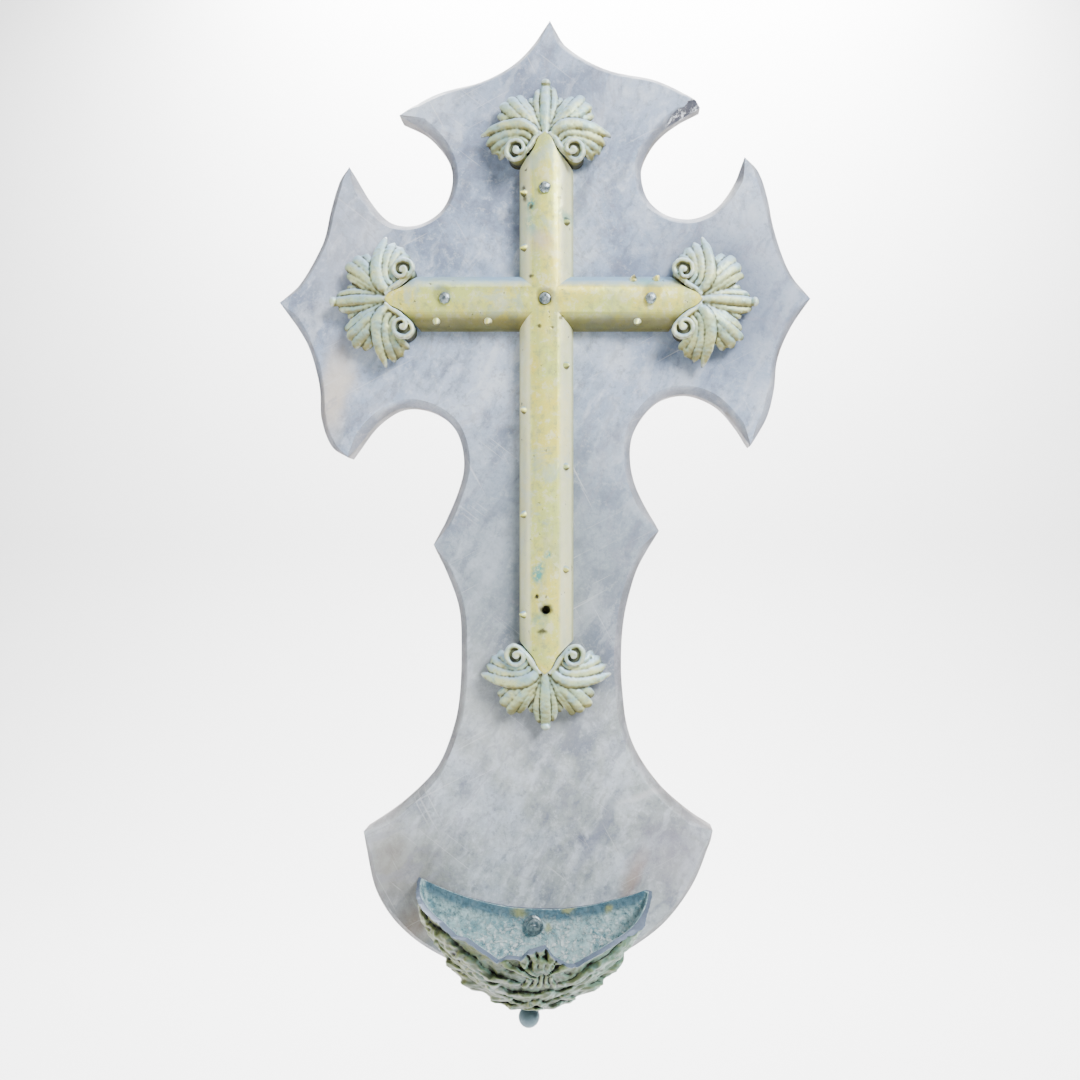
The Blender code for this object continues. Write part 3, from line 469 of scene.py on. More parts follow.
def bar_solid(name, low, high, margin):
    """A half-round bar along local X, with an ogee point at each end."""
    half = BEAM_WIDTH / 2 + margin
    section = []
    for step in range(BEAM_FACETS + 1):
        angle = math.pi * step / BEAM_FACETS
        across = math.copysign(abs(math.cos(angle)) ** BEAM_ROUNDNESS, math.cos(angle))
        height = max(math.sin(angle), 0.0) ** BEAM_ROUNDNESS * (BEAM_RISE + margin) - margin
        section.append((across * half, height))
    bm = bmesh.new()
    loft(bm, [[Vector((x, across, height)) for across, height in section]
              for x in (low - BEAM_WIDTH, high + BEAM_WIDTH)])
    body = object_from(name, bm)
    fine = curve_through([Vector((back, side, 0.0)) for back, side in OGEE], 6)[1:]
    edge = [(p.x * BEAM_WIDTH, p.y * BEAM_WIDTH + margin) for p in fine]
    upper = ([(high + 2 * margin, 0.0)] + [(high + margin - back, side) for back, side in edge]
             + [(low - margin + back, side) for back, side in reversed(edge)] + [(low - 2 * margin, 0.0)])
    ring = upper + [(x, -side) for x, side in upper[-2:0:-1]]
    bm = bmesh.new()
    loft(bm, [[Vector((x, across, height)) for x, across in ring] for height in (-0.04, 0.04)])
    return boolean(body, [object_from("ogee", bm)], "INTERSECT")


def lying(angle=0.0):
    """Turns local X, Y, height into row axes, on the marble."""
    return (Matrix.Translation((0.0, -FRONT, 0.0)) @ Matrix.Rotation(math.pi / 2, 4, "X")
            @ Matrix.Rotation(math.radians(angle), 4, "Z"))


def share_along(share, low, high):
    """Place on a bar, from the crossing at 0 to its ends at -1 and 1."""
    return share * (high if share > 0 else low)


def make_cross():
    """Upright and crossbar in one, with the stubs of lopped branches and the foot's nail hole."""
    upright = bar_solid("cross_brass", -FOOT, HEAD, 0.0)
    upright.data.transform(lying(90))
    crossbar = bar_solid("crossbar", -LEFT, RIGHT, 0.0)
    crossbar.data.transform(lying())
    added = [crossbar]
    for knots, low, high, turn, flip in ((KNOTS_UP, FOOT, HEAD, 90, -1), (KNOTS_ACROSS, LEFT, RIGHT, 0, 1)):
        for i, (share, side) in enumerate(knots):
            lean = math.radians(42 + 5 * math.sin(3.1 * i))
            side *= flip
            direction = Vector((0.25 * math.sin(5.0 * i), side * math.cos(lean), math.sin(lean))).normalized()
            foot = Vector((share_along(share, low, high), side * BEAM_WIDTH / 2 * math.cos(lean),
                           BEAM_RISE * math.sin(lean)))
            stub = bmesh.new()
            bmesh.ops.create_icosphere(stub, subdivisions=3, radius=1.0)
            for vert in stub.verts:
                taper = 1.0 - 0.28 * max(0.0, vert.co.z)
                vert.co = Vector((vert.co.x * taper * STUB_RADIUS, vert.co.y * taper * STUB_RADIUS,
                                  vert.co.z * STUB_LENGTH))
                vert.co *= 1.0 + 0.12 * noise.noise(vert.co * 700 + Vector((i, 0, turn)))
            aim = direction.to_track_quat("Z", "Y").to_matrix().to_4x4()
            stub.transform(lying(turn) @ Matrix.Translation(foot) @ aim)
            added.append(object_from("stub", stub))
    boolean(upright, added, "UNION")
    holes = []
    for x, z, radius, depth in HOLES:
        hole = bmesh.new()
        bmesh.ops.create_cone(hole, cap_ends=True, segments=32, radius1=radius, radius2=radius * 1.1,
                              depth=2 * depth, matrix=Matrix.Translation((x, -FRONT - BEAM_RISE, z))
                              @ Matrix.Rotation(math.pi / 2, 4, "X"))
        holes.append(object_from("hole", hole))
    boolean(upright, holes, "DIFFERENCE")
    smooth(upright, 32)
    return upright


def rib(bm, points, floor_share=0.34, crown=2.3):
    """A rounded rib with a blunt tip. It leaves the marble past floor_share; crown limits its roundness."""
    centres = curve_through([Vector(p[:3]) for p in points], RIB_STEPS)
    widths = np.interp(np.linspace(0, len(points) - 1, len(centres)), range(len(points)),
                       [p[3] for p in points])
    rings = []
    for i, centre in enumerate(centres):
        t = i / (len(centres) - 1)
        along = (centres[min(i + 1, len(centres) - 1)] - centres[max(i - 1, 0)])
        side = Vector((-along.y, along.x, 0.0)).normalized()
        nose = math.sqrt(max(0.05, 1.0 - max(0.0, (t - RIB_NOSE_START) / RIB_NOSE_LENGTH) ** 2))
        centre = centre - Vector((0, 0, (1.0 - nose) * min(widths[i], 2.6)))
        width = widths[i] * nose
        lifted = max(0.0, (t - floor_share) / (1 - floor_share))
        bottom = (1 - lifted ** 0.5) * -1.5 + lifted ** 0.5 * (centre.z - RIB_THICKNESS * (1.0 - 0.35 * t))
        ring = []
        for step in range(RIB_FACETS + 1):
            angle = math.pi * step / RIB_FACETS
            lift = (math.sin(angle) - 1.0) * min(width * 1.1, crown)
            ring.append(centre + side * (math.cos(angle) * width) + Vector((0, 0, lift)))
        low = min(bottom, centre.z - min(width * 1.1, crown) - 0.5)
        for across in (-0.92, -0.5, 0.5, 0.92):
            ring.append(Vector((centre.x, centre.y, low + (0.5 if abs(across) > 0.6 else 0.0)))
                        + side * across * width)
        rings.append([p / 1000 for p in ring])
    loft(bm, rings)


def make_finial_mesh():
    """The finial casting in local axes: X outwards, Y sideways, Z up from the marble."""
    bm = bmesh.new()
    core = Matrix.Translation((0.005, 0, 0)) @ Matrix.Diagonal((0.0082, 0.0088, 0.0128, 1.0))
    bmesh.ops.create_uvsphere(bm, u_segments=24, v_segments=16, radius=1.0, matrix=core)
    for table, crown in ((RIBS, 1.7), (BLADES, 1.4)):
        for i, points in enumerate(table):
            for side in ((1,) if i == 0 else (1, -1)):
                share = 1.03 + 0.08 * math.sin(4.1 * i + side) if table is RIBS else 1.0
                own = [(x, y * side, height, width * share) for x, y, height, width in points]
                x, y, height, width = own[-1]
                own[-1] = (x * (1 + 0.04 * math.sin(2.3 * i + side)), y, height - 0.8 * share, width)
                rib(bm, own, crown=crown)
    bead = Matrix.Translation((0.0318, 0, 0.0078)) @ Matrix.Diagonal((0.0024, 0.0030, 0.0026, 1.0))
    bmesh.ops.create_uvsphere(bm, u_segments=16, v_segments=12, radius=1.0, matrix=bead)
    for side in (1, -1):
        rib(bm, [(x, y * side, height, width) for x, y, height, width in SCROLL], floor_share=2.0)
        for radius, top in ((5.6, 15.2), (2.0, 18.2)):
            roll = Matrix.Translation((SCROLL_CENTRE[0], SCROLL_CENTRE[1] * side, (top - 1.5) / 2000))
            bmesh.ops.create_cone(bm, cap_ends=True, segments=32, radius1=radius / 1000,
                                  radius2=radius * 0.94 / 1000, depth=(top + 1.5) / 1000, matrix=roll)
    finial = object_from("finial", bm)
    fuse = finial.modifiers.new("fuse", "REMESH")
    fuse.mode = "VOXEL"
    fuse.voxel_size = GRAIN
    soften = finial.modifiers.new("soften", "SMOOTH")
    soften.factor = 0.5
    soften.iterations = 4
    applied(finial)
    back = bmesh.new()
    bmesh.ops.create_cube(back, size=0.2, matrix=Matrix.Translation((0, 0, -0.1)))
    boolean(finial, [object_from("back", back), bar_solid("socket", -0.12, 0.0, 0.0002)], "DIFFERENCE")
    normals = [vert.normal.copy() for vert in finial.data.vertices]
    for vert, normal in zip(finial.data.vertices, normals):
        uneven = 0.00034 * noise.noise(vert.co * 170) + 0.00016 * noise.noise(vert.co * 520)
        vert.co = vert.co + normal * uneven * min(1.0, max(0.0, vert.co.z * 1000 - 0.5))
    hollows(finial, 14)
    mesh = finial.data
    mesh.shade_smooth()
    mesh.set_sharp_from_angle(angle=math.radians(60))
    bpy.data.objects.remove(finial)
    return mesh


def hollows(thing, rounds):
    """Stores how deep each vertex lies in a hollow, in standard deviations. Ridges are negative."""
    mesh = thing.data
    count = len(mesh.vertices)
    start = np.zeros(count * 3)
    mesh.vertices.foreach_get("co", start)
    start = start.reshape(-1, 3)
    normals = np.zeros(count * 3)
    mesh.vertices.foreach_get("normal", normals)
    edges = np.zeros(len(mesh.edges) * 2, np.int64)
    mesh.edges.foreach_get("vertices", edges)
    a, b = edges.reshape(-1, 2).T
    degree = np.maximum(np.bincount(a, minlength=count) + np.bincount(b, minlength=count), 1)
    moved = start.copy()
    for _ in range(rounds):
        total = np.stack([np.bincount(a, moved[b, k], count) + np.bincount(b, moved[a, k], count)
                          for k in range(3)], axis=1)
        moved = 0.4 * moved + 0.6 * total / degree[:, None]
    depth = ((moved - start) * normals.reshape(-1, 3)).sum(1)
    depth = (depth - np.median(depth)) / depth.std()
    layer = mesh.attributes.new("hollow", "FLOAT", "POINT")
    layer.data.foreach_set("value", depth.astype(np.float32))


def font_place(across, out, down):
    """A point of the tilted font in row axes, from the middle between its horns."""
    x = FONT_X + across * math.cos(FONT_TILT) - down * math.sin(FONT_TILT)
    z = FONT_Z - across * math.sin(FONT_TILT) - down * math.cos(FONT_TILT)
    return Vector((x, -FRONT - out, z))


def bowl_shape(share):
    """The font's width at a share of its depth, 1 at the top."""
    return 0.12 + 0.88 * max(0.0, 1.0 - max(0.0, share) ** 1.6) ** 0.9


def font_relief(sideways, down):
    """Height of the leaves on the font's outside, in mm."""
    shake = noise.noise_vector(Vector((sideways * 0.09, down * 0.12, 4.0))) * 3.2
    sideways += shake.x
    down += shake.y
    best = 0.0
    for points in FONT_RIBS:
        for side in (1, -1):
            for a, b in zip(points, points[1:]):
                ax, bx = a[0] * side, b[0] * side
                run = (bx - ax, b[1] - a[1])
                t = ((sideways - ax) * run[0] + (down - a[1]) * run[1]) / (run[0] ** 2 + run[1] ** 2)
                t = min(1.0, max(0.0, t))
                gap = math.hypot(sideways - ax - run[0] * t, down - a[1] - run[1] * t)
                width = a[2] + (b[2] - a[2]) * t
                if gap < width:
                    height = (a[3] + (b[3] - a[3]) * t) * math.sqrt(1 - (gap / width) ** 2)
                    best = max(best, height)
    best *= 0.9 + 0.45 * noise.noise(Vector((sideways * 0.22, down * 0.3, 9.0)))
    for x, y, radius, height in FONT_LOBES:
        best += height * math.exp(-(((sideways - x) ** 2 + (down - y) ** 2) / radius ** 2) ** 1.5)
    for x, y, radius in FONT_HOLES:
        best -= 3.2 * math.exp(-((sideways - x) ** 2 + (down - y) ** 2) / radius ** 2)
    return best


def horn_share(angle, share):
    """How plain the font's wall is: 1 at its two horns, 0 where the leaves grow."""
    return min(1.0, max(0.0, 1.5 - math.sin(angle) / 0.30)) * min(1.0, max(0.0, 1.6 - share / 0.28))


def make_font():
    """The hollow half bowl with its ragged rim, leaf relief and ball."""
    half = FONT_WIDTH / 2
    front = FONT_PROJECTION / bowl_shape(FONT_FRONT_SHARE)
    # Points round the arc, rings outside and inside, points along the back
    arc, levels, inner_levels, back = 260, 96, 30, 46
    rim_angles, rim_depths = zip(*RIM)

    def ring(share, floor, wall, lift=0.0):
        points = []
        for step in range(arc + 1):
            degrees = 180.0 * step / arc
            angle = math.radians(degrees)
            top = float(np.interp(degrees, rim_angles, rim_depths)) / 1000
            top += 0.0005 * noise.noise(Vector((degrees / 5.0, 3.1, 0.0))) - lift
            down = top + (floor - top) * share
            swell = bowl_shape(down / FONT_DEPTH)
            drop = half * (bowl_shape(down / FONT_DEPTH - 0.01) - swell)
            inward = wall * math.hypot(1.0, drop / (0.01 * FONT_DEPTH))
            raised = 0.0
            if wall == 0.0 and lift == 0.0:
                sideways = (degrees - LEAF_AXIS) * MM_PER_DEGREE * (0.25 + 0.75 * swell)
                fade = (min(1.0, 5 * math.sin(angle), 7.0 * (1.0 - share) + 0.1)
                        * (1.0 - horn_share(angle, share)))
                raised = max(0.0, fade) * font_relief(sideways, (down - 0.003) * 1000 * 0.92) / 1000
                raised += 0.0004 * noise.noise(Vector((sideways * 0.4, down * 400, 1.0)))
                vein = noise.noise(Vector((sideways * 0.26, down * 240, 5.0)))
                raised += 0.0004 * max(0.0, fade) * (1.0 - 3.0 * abs(vein))
                raised = max(raised, -0.0014) + 0.0012 * fade * math.exp(-((down - top) / 0.0020) ** 2)
            across = -(half * swell - inward + raised) * math.cos(angle)
            out = wall + (front * swell - inward - wall + raised) * math.sin(angle)
            points.append((across, out, down))
        start, end = points[-1][0], points[0][0]
        for step in range(1, back):
            part = step / back
            sag = BACK_SAG * (1 - (2 * part - 1) ** 2) + 0.0004 * noise.noise(Vector((part * 9, 0, 0))) - lift
            points.append((start + (end - start) * part, wall, sag + (floor - sag) * share))
        return [font_place(*point) for point in points]

    rings = [ring(level / levels, FONT_DEPTH, 0.0) for level in range(levels, -1, -1)]
    rings.append(ring(0.0, FONT_DEPTH, FONT_WALL * 0.3, 0.0005))
    rings.append(ring(0.0, FONT_DEPTH, FONT_WALL * 0.75, 0.0004))
    rings += [ring(level / inner_levels, FONT_DEPTH - 1.9 * FONT_WALL, FONT_WALL)
              for level in range(inner_levels + 1)]
    bm = bmesh.new()
    rim = bm.verts.layers.float.new("rim")
    edge = bm.verts.layers.float.new("edge")
    rows = loft(bm, rings)
    for i, row in enumerate(rows):
        for k, vert in enumerate(row):
            vert[rim] = math.exp(-(abs(i - levels - 1) / 2.8) ** 2)
            if k <= arc and i <= levels:
                vert[rim] = max(vert[rim], horn_share(math.pi * k / arc, 1.0 - i / levels))
            if k > arc and i > levels + 2:
                vert[edge] = math.exp(-(max(0, i - levels - 3) / 4.0) ** 2)
    inside = {vert for row in rows[levels + 2:] for vert in row}
    for face in bm.faces:
        if all(vert in inside for vert in face.verts):
            face.material_index = 1
    centre = Matrix.Translation(font_place(0.0, BALL_OUT, FONT_DEPTH + BALL_DROP))
    bmesh.ops.create_uvsphere(bm, u_segments=48, v_segments=32, radius=BALL_RADIUS, matrix=centre)
    for radius, thick, down in ((0.0052, 0.0022, -0.0010), (0.0040, 0.0016, 0.0008)):
        collar = Matrix.Translation(font_place(0.0, BALL_OUT, FONT_DEPTH + down))
        bmesh.ops.create_uvsphere(bm, u_segments=32, v_segments=16, radius=1.0,
                                  matrix=collar @ Matrix.Diagonal((radius, radius, thick, 1.0)))
    font = object_from("font_bowl", bm)
    hollows(font, 10)
    smooth(font, 50)
    return font


def turned(name, profile, x, z, seat, sides=40, ragged=0.0):
    """A nail or bolt turned about Y from (radius, height in front of its seat), in mm."""
    bm = bmesh.new()
    rings = []
    for radius, height in profile:
        ring = []
        for i in range(sides):
            angle = 2 * math.pi * i / sides
            seed = Vector((2 * math.cos(angle), 2 * math.sin(angle), height * 0.4 + x * 90))
            spread = radius * (1.0 + ragged * noise.noise(seed))
            ring.append(Vector((x + spread / 1000 * math.cos(angle), seat - height / 1000,
                                z + spread / 1000 * math.sin(angle))))
        rings.append(ring)
    loft(bm, rings)
    made = object_from(name, bm)
    smooth(made, 40)
    return made


def marble_material():
    """Grey-blue marble with clouds, stains, scratches and raw breaks."""
    g = Nodes("marble_weathered", 0.62)
    g.roughen(60, 0.006)
    height = g.axis(g.position, 2)
    front = g.span(g.sum("MULTIPLY", g.axis(g.normal, 1), -1.0), 0.35, 0.9)
    colour = g.mix(g.span(height, -0.05, -0.24), srgb(154, 172, 200), srgb(162, 170, 170))
    cloud = g.noise(11, 7, 0.62, warp=0.7)
    colour = g.tint(colour, cloud, 0.44, 0.66, 0.8, (198, 210, 226))
    colour = g.tint(colour, cloud, 0.50, 0.32, 0.85, (108, 118, 142))
    mottle = g.noise(42, 6, 0.68)
    colour = g.tint(colour, mottle, 0.5, 0.70, 0.6, (100, 108, 128))
    colour = g.tint(colour, mottle, 0.5, 0.31, 0.6, (212, 221, 232))
    speckle = g.noise(230, 5, 0.75)
    colour = g.tint(colour, speckle, 0.52, 0.66, 0.5, (116, 122, 140))
    colour = g.tint(colour, speckle, 0.48, 0.34, 0.35, (226, 233, 240))
    slanted = g.mapped(g.ragged, (0.009, 0.009, 0.06), (0, math.radians(28), 0), kind="TEXTURE")
    streak = g.noise(1.0, 6, 0.62, slanted)
    colour = g.tint(colour, streak, 0.52, 0.68, 0.5, (104, 112, 132))
    colour = g.tint(colour, streak, 0.48, 0.32, 0.5, (218, 226, 236))
    for x, z, wide, high, angle, shade, strength in STAINS:
        colour = g.mix(g.spot(x, z, wide, high, angle, 0.8, strength), colour, srgb(*shade))
    veins = g.noise(7, 9, 0.6, warp=1.6)
    line = g.sum("ABSOLUTE", g.sum("SUBTRACT", veins, 0.5))
    colour = g.tint(colour, line, 0.016, 0.0, 0.35, (140, 142, 158))
    scratches = []
    for angle, seed in ((38, 0.0), (-28, 3.0), (62, 7.0)):
        stretched = g.mapped(g.position, (0.08, 0.08, 0.0016), (0, math.radians(angle), 0), (seed, 0, seed),
                             "TEXTURE")
        fine = g.span(g.noise(1.0, 2, 0.5, stretched), 0.655, 0.70)
        gate = g.span(g.noise(16, 2, 0.5, g.mapped(g.position, place=(seed, seed, 0))), 0.5, 0.62)
        scratches.append(g.sum("MULTIPLY", fine, gate))
    scratch = g.any_of(scratches)
    colour = g.mix(g.sum("MULTIPLY", scratch, 0.35), colour, srgb(224, 227, 230))
    pits = g.span(g.noise(330, 3, 0.7), 0.68, 0.76)
    colour = g.mix(g.sum("MULTIPLY", pits, 0.45), colour, srgb(110, 110, 116))
    wall = g.mix(g.span(g.noise(30, 6, 0.65), 0.35, 0.65), srgb(84, 80, 80), srgb(132, 128, 130))
    colour = g.mix(front, wall, colour)
    breaks = []
    for x, z, long, deep, wide, angle in CHIPS:
        broken = g.add("ShaderNodeVectorMath", operation="LENGTH")
        place = (x / 1000, -PLAQUE_THICKNESS, z / 1000)
        g.feed(broken.inputs[0], g.mapped(g.position, (long / 960, deep / 960, wide / 960),
                                          (0, math.radians(angle), 0), place, "TEXTURE"))
        breaks.append(g.span(broken.outputs["Value"], 1.12, 1.02))
    fracture = g.sum("MULTIPLY", g.any_of(breaks),
                     g.span(g.axis(g.position, 1), -PLAQUE_THICKNESS + 0.0001, -PLAQUE_THICKNESS + 0.0006))
    crystal = g.span(g.noise(300, 5, 0.75, g.mapped(g.position, (1, 1, 0.3), (0, 0.5, 0))), 0.49, 0.62)
    colour = g.mix(fracture, colour, g.mix(crystal, srgb(76, 78, 90), srgb(236, 240, 246)))
    g.bump([(g.noise(26, 5, 0.55), 0.0012), (g.noise(240, 6, 0.7), 0.00035), (scratch, -0.00006),
            (pits, -0.0002)])
    return g.finish(colour, g.span(mottle, 0.3, 0.7, 0.52, 0.72))


def brass_material():
    """Yellow brass with a pale bloom, verdigris spots and dark marks, bluish dust with a painted top light,
    painted highlights and shade on the upright's flanks, and painted shade underneath.
    """
    g = Nodes("brass_weathered", 0.4, 0.3)
    g.roughen(140, 0.0022)
    up = g.axis(g.normal, 2)
    cloud = g.noise(26, 6, 0.62, warp=0.4)
    colour = g.mix(g.span(cloud, 0.35, 0.65), srgb(218, 230, 126), srgb(238, 224, 92))
    along = g.noise(1.0, 5, 0.6, g.mapped(g.position, (140, 140, 22)))
    colour = g.tint(colour, along, 0.48, 0.66, 0.7, (190, 202, 142))
    colour = g.tint(colour, g.noise(60, 5, 0.6), 0.52, 0.72, 0.7, (228, 226, 172))
    grain = g.noise(170, 6, 0.72)
    colour = g.tint(colour, grain, 0.52, 0.66, 0.65, (168, 178, 122))
    colour = g.tint(colour, grain, 0.48, 0.36, 0.6, (240, 242, 204))
    blue = g.noise(34, 6, 0.66, g.mapped(g.position, place=(0.3, 0.1, 0.7)), warp=0.6)
    colour = g.tint(colour, blue, 0.54, 0.66, 0.6, (172, 200, 196))
    # Painted highlight: paler where the normal turns sideways, on the upright's flanks; painted shade on its
    # steep sides
    side = g.sum("ABSOLUTE", g.axis(g.normal, 0))
    colour = g.tint(colour, side, 0.40, 0.58, 0.6, (246, 248, 218))
    colour = g.tint(colour, side, 0.90, 0.99, 0.6, (150, 148, 92))
    # Bluish dust with a painted top light: paler in patches on faces turned upwards
    dust_and_sheen = g.sum("MULTIPLY", g.span(up, 0.25, 0.75), g.span(g.noise(45, 4, 0.6), 0.25, 0.6, 0.6, 1.0))
    colour = g.mix(dust_and_sheen, colour, srgb(142, 176, 204))
    # Painted shade: darker on faces turned downwards
    colour = g.tint(colour, up, -0.2, -0.75, 0.9, (72, 64, 24))
    peach = g.spot(-1, 34, 7, 5, 0, 0.8, 0.55)
    colour = g.mix(peach, colour, srgb(226, 200, 164))
    teal = g.any_of([g.spot(*place) for place in BLOOMS])
    patina = g.sum("MULTIPLY", teal, g.span(g.noise(300, 4, 0.65), 0.35, 0.55))
    colour = g.mix(patina, colour, srgb(96, 170, 162))
    marks = g.any_of([g.spot(*place) for place in MARKS])
    colour = g.mix(marks, colour, srgb(66, 66, 40))
    pits = g.span(g.noise(230, 3, 0.6), 0.66, 0.73)
    colour = g.mix(g.sum("MULTIPLY", pits, 0.75), colour, srgb(88, 86, 52))
    g.bump([(g.noise(40, 4, 0.55), 0.0010), (g.noise(260, 5, 0.65), 0.00022), (pits, -0.0004),
            (g.any_of([patina, marks]), -0.0003)])
    return g.finish(colour, g.span(cloud, 0.3, 0.7, 0.34, 0.50))


def verdigris_material():
    """The finials' pale green brass, dark with grime and painted shade in its hollows, with painted shade
    near the marble and underneath and painted light on its tops and ridges.
    """
    g = Nodes("brass_verdigris", 0.5, 0.3)
    hollow = g.attribute("hollow")
    up = g.axis(g.normal, 2)
    rise = g.sum("SUBTRACT", -FRONT, g.axis(g.position, 1))
    cloud = g.noise(55, 6, 0.62, warp=0.4)
    colour = g.mix(g.span(cloud, 0.35, 0.65), srgb(184, 214, 178), srgb(218, 224, 160))
    colour = g.tint(colour, g.noise(120, 5, 0.65), 0.46, 0.64, 0.8, (150, 192, 196))
    colour = g.tint(colour, g.noise(260, 5, 0.7), 0.52, 0.68, 0.45, (110, 124, 92))
    # Painted light on faces turned upwards, pale blue; painted shade on faces turned downwards, dark olive
    colour = g.tint(colour, up, 0.0, 0.6, 0.85, (176, 210, 236))
    colour = g.tint(colour, up, 0.0, -0.65, 0.9, (122, 112, 50))
    # Painted highlight on the ridges; grime and painted shade, dark olive, in the hollows
    colour = g.tint(colour, hollow, -0.3, -1.4, 0.6, (224, 234, 228))
    colour = g.tint(colour, hollow, 0.1, 1.1, 0.9, (60, 57, 30))
    # Painted shade: nearly black where the surface lies less than about 9 mm in front of the marble, in the
    # gaps and under the leaves
    colour = g.tint(colour, rise, 0.0092, 0.0045, 0.92, (44, 40, 20))
    g.bump([(g.noise(150, 5, 0.6), 0.0004), (g.noise(600, 4, 0.6), 0.00012)])
    return g.finish(colour, g.span(cloud, 0.3, 0.7, 0.42, 0.60))


def bronze_material():
    """The font's dark green outside, its plain rim and its ball, with painted highlights on its ridges and on
    faces turned sideways, and painted shade in its hollows.
    """
    g = Nodes("bronze_patina", 0.5, 0.3)
    hollow = g.attribute("hollow")
    side = g.axis(g.normal, 0)
    cloud = g.noise(48, 6, 0.64, warp=0.5)
    colour = g.mix(g.span(cloud, 0.35, 0.65), srgb(46, 60, 40), srgb(70, 82, 46))
    colour = g.tint(colour, g.noise(90, 5, 0.65), 0.48, 0.66, 0.75, (62, 94, 84))
    # Painted highlights by facing: yellow-olive on faces turned left, pale teal on faces turned right
    colour = g.tint(colour, side, -0.2, -0.8, 0.6, (110, 116, 46))
    colour = g.tint(colour, side, 0.1, 0.7, 0.6, (112, 150, 134))
    # Painted highlight on the ridges; painted shade, near black, in the hollows
    colour = g.tint(colour, hollow, -0.6, -1.9, 0.6, (108, 128, 82))
    colour = g.mix(g.span(hollow, 0.3, 1.6), colour, srgb(18, 22, 14))
    colour = g.tint(colour, g.attribute("rim"), 0.3, 0.8, 0.9, (88, 100, 124))
    ball = g.span(g.axis(g.position, 2), FONT_Z - FONT_DEPTH + 0.0016, FONT_Z - FONT_DEPTH)
    colour = g.mix(ball, colour, g.mix(cloud, srgb(70, 94, 108), srgb(124, 146, 152)))
    g.bump([(g.noise(150, 5, 0.6), 0.0006), (g.noise(520, 4, 0.6), 0.00018)])
    return g.finish(colour, g.span(cloud, 0.3, 0.7, 0.38, 0.58))


def crust_material():
    """The chalky crust inside the font."""
    g = Nodes("bronze_crust", 0.8, 0.05)
    g.roughen(120, 0.004)
    height = g.axis(g.position, 2)
    cloud = g.noise(70, 7, 0.7, warp=0.5)
    colour = g.mix(g.span(cloud, 0.35, 0.62), srgb(104, 142, 152), srgb(168, 196, 198))
    fleck = g.noise(260, 5, 0.75)
    colour = g.tint(colour, fleck, 0.5, 0.64, 0.7, (62, 92, 100))
    colour = g.tint(colour, fleck, 0.48, 0.36, 0.7, (208, 224, 226))
    colour = g.tint(colour, g.attribute("edge"), 0.15, 0.75, 0.85, (62, 98, 116))
    speckle = g.span(g.noise(420, 4, 0.7), 0.50, 0.60)
    low = g.span(height, -0.360, -0.385, 0.0, 0.85)
    colour = g.mix(g.sum("MULTIPLY", speckle, low), colour, srgb(232, 238, 238))
    for x, z, wide, high in ((-15, -363, 4.5, 3), (13, -361, 3.6, 2.2), (37, -361, 2.4, 2.2),
                             (1, -372, 1.8, 3)):
        colour = g.mix(g.spot(x, z, wide, high, 0, 0.7, 0.6), colour, srgb(166, 166, 88))
    g.bump([(g.noise(130, 5, 0.65), 0.0012), (speckle, 0.0004)])
    return g.finish(colour)


def steel_material():
    """Dull steel of the nails and bolts."""
    g = Nodes("steel_dull", 0.34, 0.9)
    cloud = g.noise(420, 5, 0.65)
    colour = g.mix(g.span(cloud, 0.4, 0.62), srgb(120, 134, 142), srgb(172, 184, 186))
    colour = g.tint(colour, g.noise(700, 3, 0.6), 0.58, 0.7, 0.8, (72, 78, 70))
    g.bump([(g.noise(500, 4, 0.6), 0.0004)])
    return g.finish(colour, g.span(cloud, 0.3, 0.7, 0.28, 0.46))


def make_nails(steel):
    """Three round nails, the crossing's bolt and the font's nut."""
    crown = -FRONT - BEAM_RISE
    dome = [(1.2, -8.0), (1.2, -0.1), (2.9, -0.1), (3.35, 0.35), (3.4, 0.9), (3.1, 1.6), (2.5, 2.1),
            (1.6, 2.5), (0.6, 2.65)]
    for name, node, x, z in (("nail_head", "head_stud", 0.0, share_along(0.663, FOOT, HEAD)),
                             ("nail_left", "left_stud", share_along(-0.620, LEFT, RIGHT), 0.0),
                             ("nail_right", "right_stud", share_along(0.673, LEFT, RIGHT), 0.0)):
        finish_piece(turned(name, dome, x, z, crown, ragged=0.10), node, [steel])
    flat = [(2.0, -24.0), (2.0, -0.9), (3.3, -0.9), (3.3, 0.3), (3.1, 0.75), (2.7, 0.95),
            (1.4, 1.0), (0.3, 1.0)]
    bolt = turned("bolt_centre", flat, 0.0, 0.0, crown - SEAM, ragged=0.03)
    finish_piece(bolt, "centre_bolt", [steel])
    place = font_place(0.0, 0.0, NUT_DROP)
    stepped = [(2.0, -11.0), (2.0, 0.0), (5.9, 0.0), (5.9, 0.8), (5.6, 1.1), (4.2, 1.2), (4.1, 3.2),
               (3.8, 3.6), (2.3, 3.7), (2.2, 4.4), (1.7, 4.6), (0.3, 4.6)]
    nut = turned("nut_font", stepped, place.x, place.z, -FRONT - FONT_WALL - SEAM, ragged=0.08)
    finish_piece(nut, "font_bolt", [steel])


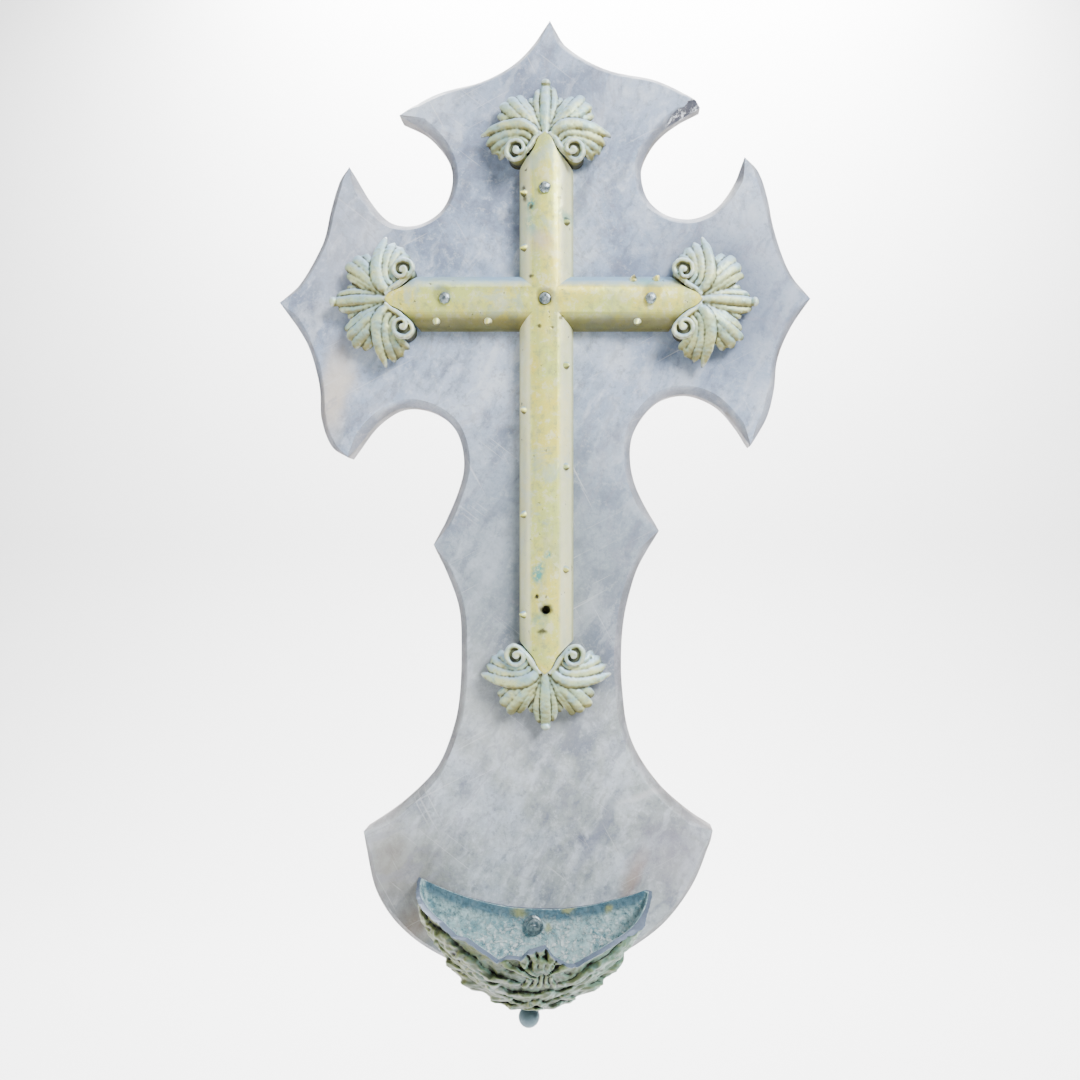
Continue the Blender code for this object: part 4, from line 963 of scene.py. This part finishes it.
def make_stage():
    """Pale floor that sweeps up far behind."""
    profile = [(STAGE_NEAR, 0.0), (STAGE_BEND, 0.0)]
    profile += [(STAGE_BEND + SWEEP_RADIUS * math.sin(a), SWEEP_RADIUS - SWEEP_RADIUS * math.cos(a))
                for a in np.linspace(0.1, math.pi / 2, 16)]
    profile.append((STAGE_BEND + SWEEP_RADIUS, STAGE_TOP))
    bm = bmesh.new()
    rows = [[bm.verts.new((x, y, z + FLOOR_Z)) for y, z in profile]
            for x in (-STAGE_HALF_WIDTH, STAGE_HALF_WIDTH)]
    for i in range(len(profile) - 1):
        bm.faces.new((rows[0][i], rows[1][i], rows[1][i + 1], rows[0][i + 1]))
    floor = object_from("studio_floor", bm)
    floor.data.shade_smooth()
    g = Nodes("studio_paper", 0.95)
    floor.data.materials.append(g.finish((0.93, 0.93, 0.93, 1.0)))


def area_light(name, place, target, size, power, spread=180):
    light = bpy.data.lights.new(name, "AREA")
    light.size = size
    light.energy = power
    light.spread = math.radians(spread)
    lamp = bpy.data.objects.new(name, light)
    lamp.location = place
    lamp.rotation_euler = (Vector(target) - Vector(place)).to_track_quat("-Z", "Y").to_euler()
    bpy.context.scene.collection.objects.link(lamp)


def make_light():
    world = bpy.data.worlds.new("studio")
    world.use_nodes = True
    world.node_tree.nodes["Background"].inputs["Color"].default_value = (0.97, 0.98, 1.0, 1.0)
    world.node_tree.nodes["Background"].inputs["Strength"].default_value = 0.22
    bpy.context.scene.world = world
    area_light("key", (1.0, -1.2, 0.9), (0, 0, -0.12), 0.65, 14.5, 80)
    area_light("overhead", (0.1, -0.45, 2.0), (0, 0, -0.12), 1.4, 6.5, 90)
    area_light("left_fill", (-1.35, -0.7, 0.1), (0, 0, -0.1), 1.0, 1.8, 90)
    area_light("backdrop", (0, 2.3, 2.4), (0, 3.2, -0.8), 3.0, 950)


def make_camera():
    """The photograph's view: square to the plaque, from just below its middle."""
    camera = bpy.data.cameras.new("camera")
    camera.sensor_width = 36.0
    camera.lens = 33.33
    camera.shift_x = -0.0602
    camera.shift_y = 0.0093
    eye = bpy.data.objects.new("camera", camera)
    eye.location = (0.0351, -0.615, -0.147)
    eye.rotation_euler = (math.pi / 2, 0.0, 0.0)
    bpy.context.scene.collection.objects.link(eye)
    bpy.context.scene.camera = eye


finish_piece(make_plaque(), "marble_plaque", [marble_material()])
finish_piece(make_cross(), "brass_cross", [brass_material()])
finial_mesh = make_finial_mesh()
verdigris = verdigris_material()
for end, x, z, angle in (("right", RIGHT, 0.0, 0), ("head", 0.0, HEAD, 90), ("left", -LEFT, 0.0, 180),
                         ("foot", 0.0, -FOOT, 270)):
    leaf = bpy.data.objects.new("finial_" + end, finial_mesh.copy())
    leaf.data.transform(Matrix.Translation((x, 0.0, z)) @ lying(angle))
    bpy.context.scene.collection.objects.link(leaf)
    finish_piece(leaf, end + "_finial", [verdigris])
finish_piece(make_font(), "holy_water_font", [bronze_material(), crust_material()])
make_nails(steel_material())
make_stage()
make_light()
make_camera()
